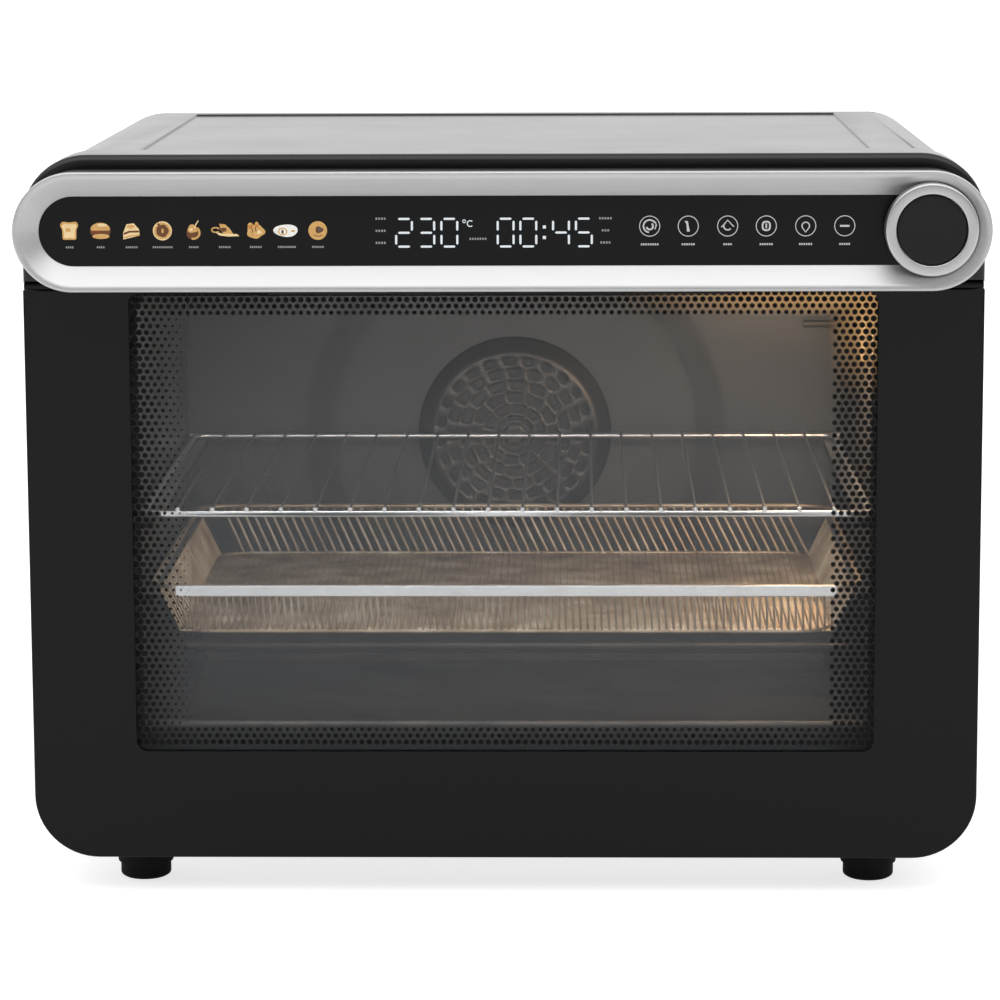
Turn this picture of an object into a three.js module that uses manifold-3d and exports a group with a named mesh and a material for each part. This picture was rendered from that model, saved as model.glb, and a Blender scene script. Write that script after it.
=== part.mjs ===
// Countertop air-fryer toaster oven, in millimetres: x across, y from the door to the back, z up.
// Pieces are laid out from the door's front face (y = 0) and the table (z = 0), and the whole oven
// is then moved along y so that its origin lies at the middle of its footprint.
import * as THREE from "three";
import { mergeVertices } from "three/addons/utils/BufferGeometryUtils.js";
import Module from "manifold-3d";

const wasm = await Module();
wasm.setup();

// Overall sizes
const bodyWidth = 500;
const bodyTop = 394;
const bodyDepth = 385;
const footHeight = 20;
const seam = 0.3; // between pieces that touch
const sheet = 0.8; // steel sheet
const halfWidth = bodyWidth / 2;

// Control panel: the dial sets the trim's radius, and the trim hangs from the body's top
const dial = { radius: 23.6, wall: 5.4, front: 42, back: 32, web: 1.6, inward: 0.8, rise: 1.2 };
const dialMargin = 7.1; // trim outside the ring
const dialOverlap = 5.7; // ring outside the trim's opening
const trimDrop = 6.5; // from the body's top to the trim
const trim = {
  radius: dial.radius + dialMargin,
  opening: dial.radius - dialOverlap,
  lip: 2.7,
  front: 34,
  back: 22,
  bevelBack: 26.5,
};
const panelHeight = bodyTop - trimDrop - trim.radius;
const panelCentre = halfWidth - trim.radius;
const dialCentre = [panelCentre - dial.inward, panelHeight + dial.rise];
const fasciaLap = 3.3; // fascia behind the opening's edge
const fascia = { radius: trim.opening + fasciaLap, front: 25.6, back: 23.4 };
const housingInset = 0.7;
const housing = { radius: trim.radius - housingInset, wall: 2.5, depth: 21.4 };
const board = { thickness: 1.6, height: 30, gapBehind: 4.7, post: 3.5, posts: [-150, -75, 75, 150] };
const display = { left: -57, right: 52, height: 24 };
const hub = { radius: 5, bore: 2.7, back: 20 };
const dialBore = dial.radius - dial.wall;
const buttonGap = 0.4;
const button = { radius: dialBore - buttonGap, front: 40.8, back: 37.4, stem: 2.2, stemBack: 18.5 };
const buttonSpring = { radius: 1.7, wire: 0.35, turns: 4 };
const encoder = { radius: 9, front: 22.8, bore: hub.radius + 0.4, boreBack: 13 };
const wiringHole = 8;

// Front frame and casing
const bezelRadius = 34;
const doorZone = 30; // depth in front of the frame plate that the door fills
const plateDepth = 8;
const plateBack = doorZone + plateDepth;
const frameWall = 3;
const doorDrop = 2.1; // from the trim to the door's top
const headerGap = 3; // from the door's top to the header
const doorTop = panelHeight - trim.radius - doorDrop;
const headerBottom = doorTop + headerGap;
const casingInset = 2;
const casingFlange = 20; // bottom return of the casing on each side
const casingHalf = halfWidth - casingInset;
const recess = { depth: 1, half: halfWidth - 55, front: 45, rear: bodyDepth - 13 };
const sideVents = {
  count: 6,
  pitch: 12,
  width: 4,
  low: bodyTop - 106,
  high: bodyTop - 56,
  first: bodyDepth - 115,
};
const rearCover = { depth: 6.7, wall: 1.5 };
const rearVents = { rows: 5, pitch: 10, width: 90, height: 4, columns: [-110, 110], low: bodyTop - 110 };

// Cooking cavity, and the bays that are left round it
const bay = { side: 49, rear: 35, below: 36, above: 1 };
const cavity = {
  half: halfWidth - bay.side,
  floor: footHeight + bay.below,
  ceiling: headerBottom + bay.above,
  back: bodyDepth - bay.rear,
  radius: 10,
};
const mouthLip = { side: 2, top: 10 }; // cavity edge that the mouth hides
const mouth = { half: cavity.half - mouthLip.side, top: cavity.ceiling - mouthLip.top, radius: 10 };
const cavityFlange = 8;
const guide = { depth: 12, height: 5, front: 44, rear: cavity.back - 8 };
const fanRise = 6; // fan above the cavity's middle
const fanAxisHeight = (cavity.floor + cavity.ceiling) / 2 + fanRise;
const ringGap = 2.6; // from the embossed ring to the ceiling
const embossedRing = { outer: cavity.ceiling - fanAxisHeight - ringGap, width: 14.8, rise: 1.6 };

// Door
const doorInset = 1;
const glass = 4;
const doorWall = 2.5;
const doorWindow = { half: mouth.half - 2, low: cavity.floor + 16, high: doorTop - 7 };
const linerWindow = { half: mouth.half - 5, low: cavity.floor + 28.5, high: doorTop - 8 };
const doorFrameBack = 24.3;
const innerGlassRest = 20;
const glassLap = 8;
const pull = { half: 120, reach: 27, thickness: 1.3 };
const pin = { radius: 2.6, length: 48, reach: 11, clearance: 0.35 };
const hinge = { y: 14, z: footHeight + 8, x: mouth.half + 9, bracket: 6, eye: pin.radius + 2.4 };
const boss = { half: 14, rise: 10 };
const looseHole = 0.4; // round a rod that passes a sheet
const hingeNotch = hinge.eye + 3.5;
const hingeSpring = { radius: pin.radius + 1, wire: 0.35, turns: 5, length: 16 };
const gasketWidth = 4;

// Fan, elements, lamp and probe
const grille = { radius: 59, depth: 11, holeRadius: 3.6, rings: [[42, 14], [26, 8]] };
const impeller = { radius: grille.radius - 13, depth: 5.5, blades: 8, hub: 9 };
const shaftRadius = 2.5;
const motor = { radius: 27, depth: 17, ears: { reach: 8, width: 18, thickness: 3 } };
const coolingFan = { radius: 30, depth: 4, blades: 6, hub: 7 };
const element = { radius: 3.2, overhang: 9, upperHeight: cavity.ceiling - 14, lowerHeight: cavity.floor + 18 };
const spread = (count, first, last) =>
  Array.from({ length: count }, (_, index) => first + (index * (last - first)) / (count - 1));
const upperElementPlaces = spread(3, plateBack + 57, cavity.back - 55);
const lowerElementPlaces = spread(2, plateBack + 42, cavity.back - 50);
const lampGlass = { radius: 21, thickness: 3.3, lap: 4 };
const lamp = { y: plateBack + 112, z: cavity.ceiling - 42, bulb: 8, cupWall: 2.4, cupDepth: 34 };
const probe = { y: cavity.back - 28, z: cavity.ceiling - 60, radius: 2.2, reach: 26 };
const cutout = { x: 60, y: cavity.back - 100, radius: 8, height: 7 };

// Racks and tray, with their gaps to the cavity
const rack = {
  height: cavity.floor + 142,
  front: 45,
  rear: cavity.back - 15,
  sideHalf: cavity.half - 5.5,
  rearHalf: cavity.half - 2,
  rail: 1.6,
  wire: 1.2,
};
const rackPitch = 18.55;
const rackWires = Math.round((2 * rack.sideHalf) / rackPitch) - 1;
const basket = {
  top: cavity.floor + 102.5,
  height: 29.5,
  half: cavity.half - 6,
  front: 47,
  rear: cavity.back - 27,
  flange: 7,
  slope: 14,
  wall: 1.5,
  rim: 2,
};
const basketBar = { half: basket.half - 17, height: 6, depth: 3 };
const tray = { half: cavity.half - 11, front: 42, rear: cavity.back - 12, wall: 1.2, height: 5, lipHeight: 12 };

// Underside and back
const foot = { x: halfWidth - 54, frontY: 40, rearY: bodyDepth - 40, radius: 15, round: 4 };
const baseGap = 2;
const powerBoard = { x: -110, y: bodyDepth - 85, width: 140, depth: 90, standoff: 5, post: 3, postInset: 8 };
const spacer = { x: halfWidth - 100, z: bodyTop - 42, radius: 9, length: 10 };
const gland = { x: 70 - halfWidth, z: footHeight + 42, hole: 8, flange: 11, bore: 3.6 };
const screw = {
  x: casingHalf - 16,
  heights: [footHeight + 56, bodyTop - 56],
  shank: 1.7,
  head: 4,
  headHeight: 2,
};
const screwClearance = 0.4;
const screwTab = 14;

// Values that follow from them
const casingTop = bodyTop - casingInset;
const casingBottom = footHeight + casingInset;
const casingRadius = bezelRadius - casingInset;
const casingFront = plateBack + seam;
const coverFront = bodyDepth - rearCover.depth;
const casingRear = coverFront - seam;
const baseTop = casingBottom - seam;
const baseBottom = footHeight + seam;
const cavityWall = cavity.half + sheet;
const backWallFront = cavity.back + seam;
const backWallRear = backWallFront + sheet;
const linerFront = doorFrameBack + seam;
const linerBack = linerFront + 1.6;
const innerGlassFront = innerGlassRest + seam;
const pinHole = pin.radius + pin.clearance;

// Colour, roughness and metalness of each finish
const materials = {
  blackMetal: [0x232324, 0.42, 0.6],
  casing: [0x3a3a3b, 0.3, 0.8],
  blackPlastic: [0x202122, 0.5, 0],
  smokedGlass: [0x2b2c2e, 0.08, 0],
  satinMetal: [0xb8babd, 0.32, 0.9],
  enamel: [0x4c4d4f, 0.4, 0.5],
  chrome: [0xd8dade, 0.15, 1],
  darkSteel: [0x55504b, 0.5, 0.8],
  fryMesh: [0x8a7661, 0.5, 0.6],
  galvanised: [0x9a9ea2, 0.45, 0.8],
  rubber: [0x161616, 0.85, 0],
  silicone: [0x2a2a2a, 0.8, 0],
  circuit: [0x1f4a34, 0.6, 0],
  ceramic: [0xe4e0d6, 0.6, 0],
  warmGlass: [0xffe3b0, 0.1, 0],
};
for (const [name, [color, roughness, metalness]] of Object.entries(materials)) {
  materials[name] = new THREE.MeshStandardMaterial({ color, roughness, metalness });
}

const oven = new THREE.Group();

// A closed three.js geometry as a solid that can be joined and cut
function solid(geometry) {
  geometry.deleteAttribute("normal");
  geometry.deleteAttribute("uv");
  const merged = mergeVertices(geometry, 1e-4);
  const mesh = new wasm.Mesh({
    numProp: 3,
    vertProperties: merged.attributes.position.array,
    triVerts: new Uint32Array(merged.index.array),
  });
  return new wasm.Manifold(mesh);
}

function add(name, shape, material, position = [0, 0, 0]) {
  const { vertProperties, triVerts } = shape.getMesh();
  const geometry = new THREE.BufferGeometry();
  geometry.setAttribute("position", new THREE.BufferAttribute(vertProperties, 3));
  geometry.setIndex(new THREE.BufferAttribute(triVerts, 1));
  const mesh = new THREE.Mesh(geometry, material);
  mesh.name = name;
  mesh.position.set(...position);
  oven.add(mesh);
}

const join = (...shapes) => shapes.reduce((all, shape) => all.add(shape));

function box([x0, x1], [y0, y1], [z0, z1]) {
  const geometry = new THREE.BoxGeometry(x1 - x0, y1 - y0, z1 - z0);
  return solid(geometry.translate((x0 + x1) / 2, (y0 + y1) / 2, (z0 + z1) / 2));
}

// The same box on the left and on the right
function bothSides([x0, x1], ys, zs) {
  return join(box([x0, x1], ys, zs), box([-x1, -x0], ys, zs));
}

// A cylinder or cone along x, y or z between two places on that axis
const turns = { x: [0, 0, -Math.PI / 2], y: [0, 0, 0], z: [Math.PI / 2, 0, 0] };
function along(axis, [from, to], centre) {
  const place = { x: [0, ...centre], y: [centre[0], 0, centre[1]], z: [...centre, 0] }[axis];
  place["xyz".indexOf(axis)] = (from + to) / 2;
  const turn = new THREE.Matrix4().makeRotationFromEuler(new THREE.Euler(...turns[axis]));
  return turn.setPosition(...place);
}
function rod(axis, radius, span, centre = [0, 0], sides = 16, endRadius = radius) {
  const geometry = new THREE.CylinderGeometry(endRadius, radius, span[1] - span[0], sides);
  return solid(geometry.applyMatrix4(along(axis, span, centre)));
}

// A body of revolution: [radius, height] points up the outside, closed on the axis
function turned(axis, points, centre = [0, 0], sides = 24) {
  const profile = points.map(([radius, height]) => new THREE.Vector2(radius, height));
  return solid(new THREE.LatheGeometry(profile, sides).applyMatrix4(along(axis, [0, 0], centre)));
}

// An outline drawn in x and z, carried along y
function extrude(shape, [y0, y1], curveSegments = 8) {
  const geometry = new THREE.ExtrudeGeometry(shape, { depth: y1 - y0, bevelEnabled: false, curveSegments });
  return solid(geometry.rotateX(Math.PI / 2).translate(0, y1, 0));
}

// A polygon of [y, z] corners carried along x
function prism(corners, [x0, x1]) {
  const shape = new THREE.Shape(corners.map(([y, z]) => new THREE.Vector2(y, z)));
  const geometry = new THREE.ExtrudeGeometry(shape, { depth: x1 - x0, bevelEnabled: false });
  const axes = [[0, 1, 0], [0, 0, 1], [1, 0, 0]].map((axis) => new THREE.Vector3(...axis));
  return solid(geometry.applyMatrix4(new THREE.Matrix4().makeBasis(...axes)).translate(x0, 0, 0));
}

function roundedRect([x0, x1], [z0, z1], radius) {
  const shape = new THREE.Shape();
  shape.absarc(x1 - radius, z0 + radius, radius, -Math.PI / 2, 0);
  shape.absarc(x1 - radius, z1 - radius, radius, 0, Math.PI / 2);
  shape.absarc(x0 + radius, z1 - radius, radius, Math.PI / 2, Math.PI);
  shape.absarc(x0 + radius, z0 + radius, radius, Math.PI, Math.PI * 1.5);
  return shape;
}

// The oven's front outline, drawn in by an inset on every side
function outline(inset, ys) {
  const across = [-halfWidth + inset, halfWidth - inset];
  return extrude(roundedRect(across, [footHeight + inset, bodyTop - inset], bezelRadius - inset), ys);
}

// A stadium standing across the front, whose ends and height may narrow from front to back
function stadium(frontRadius, [y0, y1], backRadius = frontRadius, sides = 40) {
  const ends = [-1, 1].map((side) =>
    rod("y", frontRadius, [y0, y1], [side * panelCentre, panelHeight], sides, backRadius),
  );
  const section = [[y0, -frontRadius], [y1, -backRadius], [y1, backRadius], [y0, frontRadius]];
  const bar = prism(section.map(([y, z]) => [y, z + panelHeight]), [-panelCentre, panelCentre]);
  return join(...ends, bar);
}

// A wire bent along a curve
function wire(curve, radius, steps, sides = 6) {
  const section = new THREE.Shape();
  section.absarc(0, 0, radius, 0, Math.PI * 2);
  const options = { steps, extrudePath: curve, bevelEnabled: false, curveSegments: sides };
  return solid(new THREE.ExtrudeGeometry(section, options));
}

// A coil spring along x or y, starting at the origin
class CoilCurve extends THREE.Curve {
  constructor(radius, length, coils, axis) {
    super();
    Object.assign(this, { radius, length, coils, axis });
  }
  getPoint(t, target = new THREE.Vector3()) {
    const angle = t * this.coils * Math.PI * 2;
    const [across, up] = [this.radius * Math.cos(angle), this.radius * Math.sin(angle)];
    const rise = t * this.length;
    return this.axis === "x" ? target.set(rise, across, up) : target.set(across, rise, up);
  }
}

// ---- Body: front frame, casing, base and back ----

const mouthShape = (grow) =>
  roundedRect([-mouth.half - grow, mouth.half + grow], [cavity.floor - grow, mouth.top + grow], mouth.radius);

function frontFrame() {
  const wiring = rod("y", wiringHole, [-1, frameWall + 1], [0, panelHeight]);
  const hollow = outline(frameWall, [frameWall, plateBack + 1]).subtract(
    box([-halfWidth, halfWidth], [0, plateBack + 1], [0, headerBottom + frameWall]),
  );
  return outline(0, [0, plateBack])
    .subtract(box([-halfWidth - 1, halfWidth + 1], [-1, doorZone], [0, headerBottom]))
    .subtract(extrude(mouthShape(0), [doorZone - 1, plateBack + 1], 4))
    .subtract(join(hollow, wiring));
}

function casing() {
  const { depth, half, front, rear } = recess;
  const shell = outline(casingInset, [casingFront, casingRear]).subtract(
    outline(casingInset + sheet, [casingFront - 1, casingRear + 1]),
  );
  const flangeEdge = casingHalf - casingRadius - casingFlange;
  const openBase = box([-flangeEdge, flangeEdge], [0, bodyDepth], [0, casingBottom + 5]);
  const sunk = box([-half, half], [front, rear], [casingTop - depth, bodyTop]);
  const panHeights = [casingTop - depth - sheet, casingTop - sheet / 2];
  const pan = box([-half - sheet, half + sheet], [front - sheet, rear + sheet], panHeights);
  let shape = shell.subtract(openBase).add(pan).subtract(sunk);
  for (let i = 0; i < sideVents.count; i += 1) {
    const y = sideVents.first + i * sideVents.pitch;
    const slot = [y, y + sideVents.width];
    const heights = [sideVents.low, sideVents.high];
    shape = shape.subtract(bothSides([casingHalf - 5, casingHalf + 5], slot, heights));
  }
  for (const z of screw.heights) {
    const tab = [z - screwTab / 2, z + screwTab / 2];
    const across = [screw.x - screwTab / 2, casingHalf - sheet / 2];
    shape = shape.add(bothSides(across, [casingRear - sheet, casingRear], tab));
  }
  return shape.subtract(screwHoles());
}

function screwHoles() {
  const radius = screw.shank + screwClearance;
  const places = screw.heights.flatMap((z) => [[-screw.x, z], [screw.x, z]]);
  return join(...places.map((place) => rod("y", radius, [casingRear - 5, bodyDepth + 1], place, 12)));
}

function backCover() {
  const { wall } = rearCover;
  const { rows, pitch, width, height, columns, low } = rearVents;
  let shape = outline(casingInset, [coverFront, bodyDepth]).subtract(
    outline(casingInset + wall, [coverFront - 1, bodyDepth - wall]),
  );
  for (const x of columns) {
    for (let row = 0; row < rows; row += 1) {
      const z = low + row * pitch;
      const across = [x - width / 2, x + width / 2];
      shape = shape.subtract(box(across, [coverFront, bodyDepth + 1], [z, z + height]));
    }
  }
  const inlet = rod("y", gland.hole, [coverFront, bodyDepth + 1], [gland.x, gland.z], 20);
  return shape.subtract(join(inlet, screwHoles()));
}

function basePlate() {
  const edge = casingHalf - casingRadius - baseGap;
  const { x, y, width, depth, standoff, post, postInset } = powerBoard;
  const plate = box([-edge, edge], [casingFront, casingRear], [baseBottom, baseTop]);
  const [dx, dy] = [width / 2 - postInset, depth / 2 - postInset];
  const corners = [[x - dx, y - dy], [x + dx, y - dy], [x - dx, y + dy], [x + dx, y + dy]];
  const height = [baseTop - sheet / 2, baseTop + standoff];
  return join(plate, ...corners.map((place) => rod("z", post, height, place, 12)));
}

// A rounded foot, turned about its own upright axis
function footShape() {
  const top = footHeight - seam;
  const { radius, round } = foot;
  const curve = [];
  for (let i = 0; i <= 4; i += 1) {
    const angle = (i / 4) * (Math.PI / 2);
    curve.push([radius - round + round * Math.sin(angle), round - round * Math.cos(angle)]);
  }
  return turned("z", [[0, 0], ...curve, [radius, top], [0, top]]);
}

add("front_frame", frontFrame(), materials.blackMetal);
add("outer_casing", casing(), materials.casing);
add("rear_cover", backCover(), materials.casing);
add("base_plate", basePlate(), materials.galvanised);
for (const [end, y] of [["front", foot.frontY], ["rear", foot.rearY]]) {
  add(`foot_${end}_left`, footShape(), materials.rubber, [-foot.x, y, 0]);
  add(`foot_${end}_right`, footShape(), materials.rubber, [foot.x, y, 0]);
}

const screwReach = rearCover.depth + 2 * seam + 2 * sheet;
for (const [side, name] of [[-1, "left"], [1, "right"]]) {
  const back = bodyDepth + seam;
  const spacerShape = rod("y", spacer.radius, [0, spacer.length], [0, 0], 20, spacer.radius - 1.5);
  add(`rear_spacer_${name}`, spacerShape, materials.rubber, [side * spacer.x, back, spacer.z]);
  screw.heights.forEach((z, index) => {
    const { shank, head, headHeight } = screw;
    const shape = join(
      rod("y", head, [0, headHeight], [0, 0], 16, head - 0.8),
      rod("y", shank, [-screwReach, 0.5], [0, 0], 12),
    );
    add(`rear_screw_${["low", "high"][index]}_${name}`, shape, materials.galvanised, [side * screw.x, back, z]);
  });
}

const glandShape = join(
  rod("y", gland.hole - 0.35, [-rearCover.wall - 2, 0.5], [0, 0], 20),
  rod("y", gland.flange, [0, 3], [0, 0], 24, gland.flange - 1),
).subtract(rod("y", gland.bore, [-10, 10]));
add("cord_gland", glandShape, materials.rubber, [gland.x, bodyDepth + seam, gland.z]);

// ---- Cooking cavity ----

const guideHeights = [rack.height - rack.rail - 2 * seam, basket.top - basket.rim - 2 * seam];
const elementRows = [[upperElementPlaces, element.upperHeight], [lowerElementPlaces, element.lowerHeight]];
const lampPlace = [lamp.y, lamp.z];
const probePlace = [probe.y, probe.z];

function cavityShell() {
  const { half, floor, ceiling, back, radius } = cavity;
  const room = (grow, ys) =>
    extrude(roundedRect([-half - grow, half + grow], [floor - grow, ceiling + grow], radius + grow), ys, 3);
  const flangeEdge = mouthShape(cavityFlange);
  const flange = extrude(flangeEdge, [casingFront, casingFront + sheet], 4);
  let shape = join(room(sheet, [casingFront, back]), flange)
    .subtract(room(0, [casingFront + sheet, back + 1]))
    .subtract(extrude(mouthShape(0), [casingFront - 1, casingFront + 2 * sheet], 4));
  for (const z of guideHeights) {
    const rib = [z - guide.height, z];
    shape = shape.add(bothSides([half - guide.depth, half + 0.5], [guide.front, guide.rear], rib));
  }
  const across = [-cavityWall - 1, cavityWall + 1];
  for (const [places, z] of elementRows) {
    for (const y of places) shape = shape.subtract(rod("x", element.radius + looseHole, across, [y, z], 14));
  }
  const side = [half - 1, half + sheet + 1];
  const lampHole = rod("x", lampGlass.radius - lampGlass.lap, side, lampPlace, 24);
  return shape.subtract(join(lampHole, rod("x", probe.radius + looseHole, side, probePlace)));
}

function cavityBack() {
  const { outer, width, rise } = embossedRing;
  const centre = [0, fanAxisHeight];
  const edges = [[-cavityWall - 3, cavityWall + 3], [cavity.floor - 4, cavity.ceiling + 4]];
  const wall = extrude(roundedRect(...edges, cavity.radius), [backWallFront, backWallRear], 4);
  const ring = rod("y", outer, [backWallFront - rise, backWallFront + 0.5], centre, 48)
    .subtract(rod("y", outer - width, [backWallFront - 5, backWallFront + 5], centre, 48));
  const inlet = rod("y", shaftRadius + 3, [backWallFront - 5, backWallRear + 5], centre, 20);
  return join(wall, ring).subtract(inlet);
}

function fanGrille() {
  const { radius, depth, holeRadius, rings } = grille;
  const rear = backWallFront - seam;
  const dish = (shrink, ys) => rod("y", radius - 9 - shrink, ys, [0, fanAxisHeight], 40, radius - shrink);
  let shape = dish(0, [rear - depth, rear]).subtract(dish(sheet, [rear - depth + sheet, rear + sheet]));
  for (const [ring, count] of rings) {
    for (let i = 0; i < count; i += 1) {
      const angle = (i / count) * Math.PI * 2;
      const place = [ring * Math.cos(angle), fanAxisHeight + ring * Math.sin(angle)];
      shape = shape.subtract(rod("y", holeRadius, [rear - depth - 2, rear - depth + 3], place, 6));
    }
  }
  return shape;
}

add("cavity_shell", cavityShell(), materials.enamel);
add("cavity_back", cavityBack(), materials.enamel);
add("fan_grille", fanGrille(), materials.darkSteel);

const elementShape = join(
  rod("x", element.radius, [-cavityWall - element.overhang, cavityWall + element.overhang], [0, 0], 12),
  rod("x", element.radius + 2, [cavityWall + 1, cavityWall + element.overhang - 2], [0, 0], 12),
  rod("x", element.radius + 2, [-cavityWall - element.overhang + 2, -cavityWall - 1], [0, 0], 12),
);
for (const [row, [places, z]] of elementRows.entries()) {
  places.forEach((y, index) => {
    add(`${["upper", "lower"][row]}_element_${index + 1}`, elementShape, materials.darkSteel, [0, y, z]);
  });
}

const glassSpan = [cavity.half - lampGlass.thickness, cavity.half - seam];
add("lamp_glass", rod("x", lampGlass.radius, glassSpan, lampPlace, 28), materials.warmGlass);
const cupSpan = [cavityWall + seam, cavityWall + lamp.cupDepth];
const bulbSpan = [cavityWall + 5, cupSpan[1] - lamp.cupWall - seam];
const cupRadius = lampGlass.radius + 1;
const lampCup = rod("x", cupRadius, cupSpan, lampPlace, 24).subtract(
  rod("x", cupRadius - lamp.cupWall, [cupSpan[0] - 1, cupSpan[1] - lamp.cupWall], lampPlace, 24),
);
add("lamp_holder", lampCup, materials.ceramic);
const bulb = join(
  rod("x", lamp.bulb, [bulbSpan[0], bulbSpan[0] + 14], lampPlace, 16),
  rod("x", lamp.bulb - 3, bulbSpan, lampPlace, 16),
);
add("lamp_bulb", bulb, materials.warmGlass);
const probeSpan = [cavity.half - probe.reach, cavityWall + 12];
const probeShape = join(
  rod("x", probe.radius, probeSpan, probePlace, 12),
  rod("x", probe.radius + 3, [cavityWall + seam, cavityWall + 6], probePlace, 12),
);
add("temperature_probe", probeShape, materials.chrome);
const cutoutSpan = [cavity.ceiling + sheet + seam, cavity.ceiling + sheet + cutout.height];
add("thermal_cutout", rod("z", cutout.radius, cutoutSpan, [cutout.x, cutout.y]), materials.ceramic);

// ---- Fan and motors on the back wall ----

const fanCentre = [0, fanAxisHeight];
const motorSpan = [backWallRear + seam, backWallRear + motor.depth];
const { reach: earReach, width: earWidth, thickness: earThickness } = motor.ears;
const motorShape = join(
  rod("y", motor.radius, motorSpan, fanCentre, 24),
  box(
    [-motor.radius - earReach, motor.radius + earReach],
    [motorSpan[0], motorSpan[0] + earThickness],
    [fanAxisHeight - earWidth / 2, fanAxisHeight + earWidth / 2],
  ),
).subtract(rod("y", shaftRadius + 0.35, [motorSpan[0] - 1, motorSpan[1] + 1], fanCentre));
add("fan_motor", motorShape, materials.galvanised);

function bladeWheel(span, radius, hubRadius, blades, lean) {
  const [y0, y1] = span;
  const wheel = [rod("y", hubRadius, span, [0, 0], 20), rod("y", radius, [y1 - 1, y1], [0, 0], 36)];
  for (let i = 0; i < blades; i += 1) {
    const angle = (i / blades) * 360;
    const blade = box([hubRadius - 2, radius - 1], [y0, y1 - 0.5], [-0.6, 0.6]).rotate([0, lean, 0]);
    wheel.push(blade.rotate([0, angle, 0]));
  }
  return join(...wheel).subtract(rod("y", shaftRadius + 0.3, [y0 - 1, y1 + 1]));
}

const wheelBack = backWallFront - 2 * seam - 3;
const coolerFront = motorSpan[1] + 1;
const wheelSpan = [wheelBack - impeller.depth, wheelBack];
const wheelShape = bladeWheel(wheelSpan, impeller.radius, impeller.hub, impeller.blades, 12);
add("fan_impeller", wheelShape, materials.galvanised, [0, 0, fanAxisHeight]);
const coolerSpan = [coolerFront, coolerFront + coolingFan.depth];
const coolerShape = bladeWheel(coolerSpan, coolingFan.radius, coolingFan.hub, coolingFan.blades, 0);
add("cooling_fan", coolerShape, materials.galvanised, [0, 0, fanAxisHeight]);
const shaftSpan = [wheelSpan[0] - 0.6, coolerSpan[1] + 1.5];
add("fan_shaft", rod("y", shaftRadius, shaftSpan, fanCentre), materials.chrome);

// ---- Door and its hinges ----

const belowDoorTop = (inset) =>
  box([-halfWidth - 1, halfWidth + 1], [-1, plateBack], [footHeight - 1, doorTop - inset]);
const doorOutline = (inset, ys) => outline(inset, ys).intersect(belowDoorTop(inset));
const windowCut = ({ half, low, high }, ys, grow = 0) =>
  extrude(roundedRect([-half - grow, half + grow], [low - grow, high + grow], 6), ys, 3);

const notch = bothSides(
  [hinge.x - hinge.bracket / 2 - 1, hinge.x + hinge.bracket / 2 + 1],
  [hinge.y - hingeNotch, doorZone],
  [0, hinge.z + hingeNotch],
);
const pinSpan = [hinge.x + pin.reach - pin.length, hinge.x + pin.reach];

function doorFrame() {
  const front = glass + seam;
  const inner = [front + doorWall, doorFrameBack + 1];
  const { half, low, high } = doorWindow;
  const edge = doorInset + doorWall;
  const hollow = doorOutline(edge, inner)
    .subtract(windowCut(doorWindow, inner, doorWall))
    .subtract(box([-half - 9, half + 9], inner, [high - 1, doorTop]));
  const rest = windowCut(doorWindow, [innerGlassRest, doorFrameBack + 1], glassLap).intersect(
    box([-bodyWidth, bodyWidth], [0, plateBack], [low - glassLap - 1, doorTop - edge]),
  );
  const bossHeight = [footHeight + edge / 2, hinge.z + boss.rise];
  const bossAcross = [hinge.x - boss.half, hinge.x + boss.half];
  const bosses = bothSides(bossAcross, [front, doorFrameBack], bossHeight);
  const bores = [-1, 1].map((side) => {
    const span = side > 0 ? pinSpan : [-pinSpan[1], -pinSpan[0]];
    return rod("x", pinHole, [span[0] - 1, span[1] + 1], [hinge.y, hinge.z]);
  });
  return join(doorOutline(doorInset, [front, doorFrameBack]).subtract(hollow), bosses)
    .subtract(join(rest, windowCut(doorWindow, [0, doorFrameBack + 1]), notch, ...bores));
}

function doorLiner() {
  return doorOutline(doorInset + 0.5, [linerFront, linerBack]).subtract(
    join(windowCut(linerWindow, [linerFront - 1, linerBack + 1]), notch),
  );
}

function innerGlass() {
  const pane = windowCut(doorWindow, [innerGlassFront, doorFrameBack], glassLap - 0.5);
  const height = doorTop - doorInset - doorWall - seam;
  return pane.intersect(box([-bodyWidth, bodyWidth], [0, plateBack], [0, height]));
}

add("door_outer_glass", doorOutline(0, [0, glass]), materials.smokedGlass);
add("door_frame", doorFrame(), materials.blackPlastic);
add("door_inner_glass", innerGlass(), materials.smokedGlass);
add("door_liner", doorLiner(), materials.blackMetal);
const pullSpan = [doorTop + seam, doorTop + seam + pull.thickness];
add("door_pull", box([-pull.half, pull.half], [-pull.reach, doorFrameBack], pullSpan), materials.blackPlastic);

const gasketEdges = (grow) => {
  const across = mouth.half + 1 + grow;
  return roundedRect([-across, across], [cavity.floor - 1 - grow, mouth.top + 1 + grow], mouth.radius);
};
const gasketSpan = [linerBack + seam, doorZone - seam];
const gasket = extrude(gasketEdges(gasketWidth), gasketSpan, 4).subtract(
  extrude(gasketEdges(0), [gasketSpan[0] - 1, gasketSpan[1] + 1], 4),
);
add("door_gasket", gasket, materials.silicone);

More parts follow.
